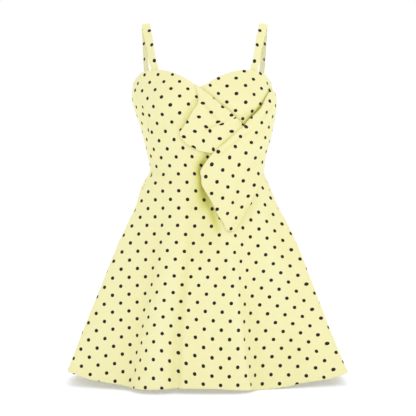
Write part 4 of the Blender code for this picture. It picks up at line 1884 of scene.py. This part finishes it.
@dataclass(frozen=True)
class DrapedPiece:
    """A folded piece of the bow that lies on the body, with soft rolled edges."""

    name: str
    ribs: tuple[Rib, ...]
    creases: tuple[Crease, ...]
    flat: tuple[float, float]
    area: float
    pins: tuple[RibPin, ...]
    pleat: Tuck
    columns: int = 64
    rows: int = 130
    cloth: float = 0.8
    seat: float = 1.1
    least_roll: float = 0.45
    tuck: float = 8.0
    roll_steps: int = 6
    under_shares: tuple[float, ...] = (0.3, 0.65, 1.0)
    edge_roll: float = 0.16
    ease_start: float = 0.3
    pattern_columns: int = 15
    pattern_rows: int = 31

    def _rib(self, name: str, station: Array) -> Array:
        """Reads one column of the ribs at any station."""
        values = column(self.ribs, name)
        return smooth_through(np.arange(len(values), dtype=float), values, station)

    def place(self, station: Array, across: Array) -> tuple[Array, Array, Array]:
        """Returns the angle, height and lift at a station along and a place across the piece.

        Args:
            station: Places along the piece, in ribs.
            across: Places across it, from 0 at the left edge to 1.

        Returns:
            The angles, heights and lifts.
        """
        rib = {name: self._rib(name, station) for name in Rib._fields}
        angle = rib["left_angle"] * (1 - across) + rib["right_angle"] * across
        height = rib["left_height"] * (1 - across) + rib["right_height"] * across
        sideways = np.clip((across - self.ease_start) / (1 - self.edge_roll - self.ease_start), 0, 1)
        sideways = sideways**2 * (3 - 2 * sideways)
        lift = rib["middle_lift"] * (1 - sideways) + rib["side_lift"] * sideways
        left_roll = np.clip(1 - across / self.edge_roll, 0, 1) ** 2
        right_roll = np.clip(1 - (1 - across) / self.edge_roll, 0, 1) ** 2
        lift = lift * (1 - left_roll) + rib["left_lift"] * left_roll
        lift = lift * (1 - right_roll) + rib["right_lift"] * right_roll
        return angle, height, lift + FORM.crease_lift(angle, height, self.creases)

    def _middle(self, stations: Array, across: Array) -> Array:
        """Returns points of the piece's outer layer."""
        return FORM.lifted(*self.place(stations, across))

    def _rolled(self, edge: Array, inner: Array, normal: Array, lift: Array) -> tuple[Array, Array]:
        """Returns the rows of points that roll an edge under, and how far each has run.

        Args:
            edge: The edge's points.
            inner: Points a little inside the edge.
            normal: The form's normals there.
            lift: How far the edge stands off the body.

        Returns:
            The points, edge x step x 3, from the edge outwards and under, and their runs.
        """
        outwards = unit(edge - inner)
        outwards = unit(outwards - normal * (outwards * normal).sum(-1, keepdims=True))
        roll = np.maximum((lift - self.seat) / 2, self.least_roll)[..., None]
        steps, runs = [], []
        for step in range(1, self.roll_steps + 1):
            turn = math.pi * step / self.roll_steps
            steps.append(edge + outwards * roll * math.sin(turn) - normal * roll * (1 - math.cos(turn)))
            runs.append(roll[..., 0] * turn)
        for share in self.under_shares:
            steps.append(edge - normal * 2 * roll - outwards * self.tuck * share)
            runs.append(roll[..., 0] * math.pi + self.tuck * share)
        return np.stack(steps, axis=1), np.stack(runs, axis=1)

    def _pattern(self) -> Array:
        """Returns the flat pattern over the printed cloth, as a coarse grid."""
        stations = np.linspace(0, len(self.ribs) - 1, self.pattern_rows)[:, None]
        across = np.linspace(0, 1, self.pattern_columns)[None, :]
        flat = FlatPattern(self._middle(stations, across)).relaxed()
        log_cut(self.name, flat)
        row = column(self.pins, "rib") / (len(self.ribs) - 1) * (self.pattern_rows - 1)
        held = grid_read(flat, row, column(self.pins, "across") * (self.pattern_columns - 1))
        dots = printed_dots(self.pins) - self._hidden(column(self.pins, "rib"), column(self.pins, "across"))
        return pinned_to_print(flat, held, dots)

    def _hidden(self, stations: Array, across: Array) -> Array:
        """Returns how far the piece's tuck moves the print on at each point, in millimetres.

        Args:
            stations: Places along the piece, in ribs.
            across: Places across it, from 0 at the left edge to 1.

        Returns:
            The move at each point, across and down the print.
        """
        angle, height, _ = self.place(stations, across)
        points = FORM.surface(angle, height)
        start = FORM.surface(self.pleat.angle, self.pleat.height)
        run = FORM.surface(self.pleat.end_angle, self.pleat.end_height) - start
        length = np.linalg.norm(run)
        along_run = (points - start) @ run / length**2
        upwards = np.cross(run / length, points - start) @ FORM.outward(self.pleat.angle, self.pleat.height)
        below = np.clip(0.5 - upwards / self.pleat.width, 0, 1)
        opened = np.clip(along_run / self.pleat.opening, 0, 1)
        return (below * opened)[..., None] * np.array([self.pleat.hidden_across, self.pleat.hidden_down])

    def build(self) -> bpy.types.Object:
        """Makes the piece with both its edges rolled under."""
        last = len(self.ribs) - 1
        stations = np.linspace(0, last, self.rows)[:, None]
        across = np.linspace(0, 1, self.columns)[None, :]
        angle, height, lift = self.place(stations, across)
        grid = FORM.lifted(angle, height, lift)
        normal = FORM.outward(angle, height)
        left, left_run = self._rolled(grid[:, 0], grid[:, 2], normal[:, 0], lift[:, 0])
        right, right_run = self._rolled(grid[:, -1], grid[:, -3], normal[:, -1], lift[:, -1])
        full = np.concatenate([left[:, ::-1], grid, right], axis=1)
        width = np.linalg.norm(np.diff(grid, axis=1), axis=2).sum(1)[:, None]
        place = np.broadcast_to(across, grid.shape[:2])
        place = np.concatenate([-left_run[:, ::-1] / width, place, 1 + right_run / width], axis=1)
        rows = np.broadcast_to(stations / last * (self.pattern_rows - 1), place.shape)
        places = grid_read(self._pattern(), rows, place * (self.pattern_columns - 1))
        places = places + self._hidden(stations, np.clip(place, 0, 1))
        # Painted shade in the creases' troughs and along their tone, painted highlight on ridges; the rolled
        # edges take their edge's.
        tone = FORM.crease_painted_shade(angle, height, self.creases)
        tone = np.pad(tone, ((0, 0), (left.shape[1], right.shape[1])), mode="edge")
        piece = cloth_sheet(self.name + "_cloth", full, places, tone, self.cloth)
        sew_on(piece, self.name)
        return piece


@dataclass(frozen=True)
class HalfBow:
    """The folded loop over the centre front and the band with its pointed tail."""

    loop: DrapedPiece = DrapedPiece(
        "bow_loop", BOW_LOOP, LOOP_CREASES, (0.20, 0.20), 0.019, LOOP_PINS, LOOP_TUCK
    )
    band: DrapedPiece = DrapedPiece(
        "bow_band", BOW_BAND, BAND_CREASES, (0.26, 0.36), 0.055, BAND_PINS, NO_TUCK
    )

    def build(self) -> list[bpy.types.Object]:
        """Makes both pieces."""
        return [self.loop.build(), self.band.build()]


# ---------------------------------------------------------------- the zip


@dataclass(frozen=True)
class Zip:
    """The concealed zip: moulded teeth along its tape, a cast slider and its pull tab."""

    pitch: float = 1.6
    tooth_height: float = 0.9
    tooth_reach: float = 1.9
    tooth_depth: float = 1.1
    overlap: float = 0.5
    tape_inset: float = 2.65
    end_margin: float = 6.0
    stop_height: float = 4.0
    edge: float = 0.25
    edge_angle: float = 35.0
    edge_steps: int = 2

    def _blocks(self, centres: Array, sizes: Array) -> bpy.types.Mesh:
        """Returns a mesh of upright boxes.

        Args:
            centres: The boxes' middles.
            sizes: The boxes' sizes.

        Returns:
            The mesh.
        """
        corners = np.array([(x, y, z) for x in (-0.5, 0.5) for y in (-0.5, 0.5) for z in (-0.5, 0.5)])
        points = centres[:, None] + corners * sizes[:, None]
        sides = np.array([(0, 1, 3, 2), (4, 6, 7, 5), (0, 4, 5, 1), (2, 3, 7, 6), (0, 2, 6, 4), (1, 5, 7, 3)])
        faces = sides + len(corners) * np.arange(len(centres))[:, None, None]
        return new_mesh("zip_teeth", points, faces.reshape(-1, 4).tolist())

    def _teeth(self) -> bpy.types.Object:
        """Adds two rows of teeth that mesh, and the bottom stop."""
        low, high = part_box("zip_tape")
        margin = self.end_margin
        heights = np.arange(low[2] / MM + margin, high[2] / MM - margin, self.pitch / 2)
        inset = -(self.tape_inset + self.tooth_depth / 2)
        centres = FORM.lifted(np.full(heights.shape, 180.0), heights, np.full(heights.shape, inset))
        sides = np.where(np.arange(len(heights)) % 2 == 0, 1, -1)
        centres[:, 0] += sides * (self.tooth_reach - self.overlap) / 2
        sizes = np.tile([self.tooth_reach, self.tooth_depth, self.tooth_height], (len(heights), 1))
        sizes[0] = (2 * self.tooth_reach, self.tooth_depth, self.stop_height)
        piece = add_to_scene("zip_teeth", self._blocks(centres, sizes))
        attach(piece, "dress")
        return piece

    def _soften(self, piece: bpy.types.Object) -> None:
        """Rounds the edges of a cast piece.

        Args:
            piece: The piece.
        """
        bevel = piece.modifiers.new("Edges", "BEVEL")
        bevel.width = self.edge * MM
        bevel.segments = self.edge_steps
        bevel.limit_method = "ANGLE"
        bevel.angle_limit = math.radians(self.edge_angle)

    def build(self) -> list[bpy.types.Object]:
        """Finishes the tape, slider and pull, and adds the teeth."""
        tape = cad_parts["zip_tape"]
        slider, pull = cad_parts["zip_slider"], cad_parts["zip_pull"]
        teeth = self._teeth()
        paint([tape], WovenTape().material("zip_tape"))
        paint([teeth, slider, pull], Lacquer().material("zip_lacquer"))
        for piece in (slider, pull):
            self._soften(piece)
        return [tape, teeth, slider, pull]


# ---------------------------------------------------------------- the studio


@dataclass(frozen=True)
class SoftLight:
    """A large square lamp that looks at the dress."""

    name: str
    place: tuple[float, float, float]
    width: float
    watts: float
    target: tuple[float, float, float]

    def build(self) -> None:
        """Adds the lamp, unseen by the camera."""
        lamp = bpy.data.lights.new(self.name, "AREA")
        lamp.shape = "SQUARE"
        lamp.size = self.width
        lamp.energy = self.watts
        obj = add_to_scene(self.name, lamp)
        obj.location = self.place
        obj.rotation_euler = (Vector(self.target) - Vector(self.place)).to_track_quat("-Z", "Y").to_euler()
        obj.visible_camera = False


@dataclass(frozen=True)
class Studio:
    """The plain pale studio, its lamps and the camera."""

    eye: tuple[float, float, float] = (0.0069, -3.5, -0.18)
    aim: tuple[float, float, float] = (0.0069, 0.0, -0.4232)
    lens: float = 132.0
    sensor: float = 36.0
    floor_height: float = -0.8205
    floor_size: float = 30.0
    floor_colour: Colour = (0.78, 0.79, 0.86, 1)
    floor_roughness: float = 0.9
    floor_specular: float = 0.1
    floor_glow: float = 0.3
    sky: Colour = (1.0, 1.0, 1.0, 1)
    sky_strength: float = 1.0
    lamps: tuple[SoftLight, ...] = (
        SoftLight("key", (2.2, -2.6, 1.6), 1.2, 8, (0.0, 0.0, -0.42)),
        SoftLight("fill", (-2.6, -2.4, 0.6), 2.2, 3, (0.0, 0.0, -0.42)),
        SoftLight("bodice", (0.5, -1.1, 0.45), 0.6, 0.9, (0.0, -0.1, -0.18)),
        SoftLight("back", (0.0, 2.6, 2.6), 2.4, 30, (0.0, 0.2, -0.8)),
    )

    def build(self) -> None:
        """Adds the floor, the sky, the lamps and the camera."""
        self._floor()
        self._sky()
        for lamp in self.lamps:
            lamp.build()
        camera = bpy.data.cameras.new("camera")
        camera.lens = self.lens
        camera.sensor_width = self.sensor
        eye = add_to_scene("camera", camera)
        eye.location = self.eye
        eye.rotation_euler = (Vector(self.aim) - Vector(self.eye)).to_track_quat("-Z", "Y").to_euler()
        bpy.context.scene.camera = eye

    def _floor(self) -> None:
        """Adds the floor, just under the hem."""
        half = self.floor_size / 2
        mesh = bpy.data.meshes.new("floor")
        corners = [(-half, -half), (half, -half), (half, half), (-half, half)]
        mesh.from_pydata([(x, y, self.floor_height) for x, y in corners], [], [(0, 1, 2, 3)])
        recipe = Recipe("floor")
        recipe.surface(
            Base_Color=self.floor_colour,
            Roughness=self.floor_roughness,
            Specular_IOR_Level=self.floor_specular,
            Emission_Color=self.sky,
            Emission_Strength=self.floor_glow,
        )
        mesh.materials.append(recipe.material)
        add_to_scene("floor", mesh)

    def _sky(self) -> None:
        """Lights the studio evenly from all round."""
        world = bpy.data.worlds.new("studio")
        world.use_nodes = True
        background = world.node_tree.nodes["Background"]
        background.inputs["Color"].default_value = self.sky
        background.inputs["Strength"].default_value = self.sky_strength
        scene = bpy.context.scene
        scene.world = world
        scene.view_settings.view_transform = "Standard"
        scene.view_settings.look = "None"


# ---------------------------------------------------------------- the dress


def paint(pieces: Iterable[bpy.types.Object], *materials: bpy.types.Material) -> None:
    """Gives pieces their materials, the outer face's first.

    Args:
        pieces: The pieces.
        materials: Their materials, the outer face's first.
    """
    for piece in pieces:
        piece.data.materials.clear()
        for material in materials:
            piece.data.materials.append(material)


def main() -> None:
    """Builds the dress and its studio, and notes how large it came out."""
    logging.basicConfig(level=logging.INFO, format="%(message)s")
    cotton = DottedCotton()
    faces = (cotton.material("dotted_cotton", True), cotton.material("dotted_cotton_inside", False))
    pieces = Panels().build() + Straps().build() + HalfBow().build()
    paint(pieces, *faces)
    for piece in pieces + Zip().build():
        report(piece)
    Studio().build()


if __name__ == "__main__":
    main()
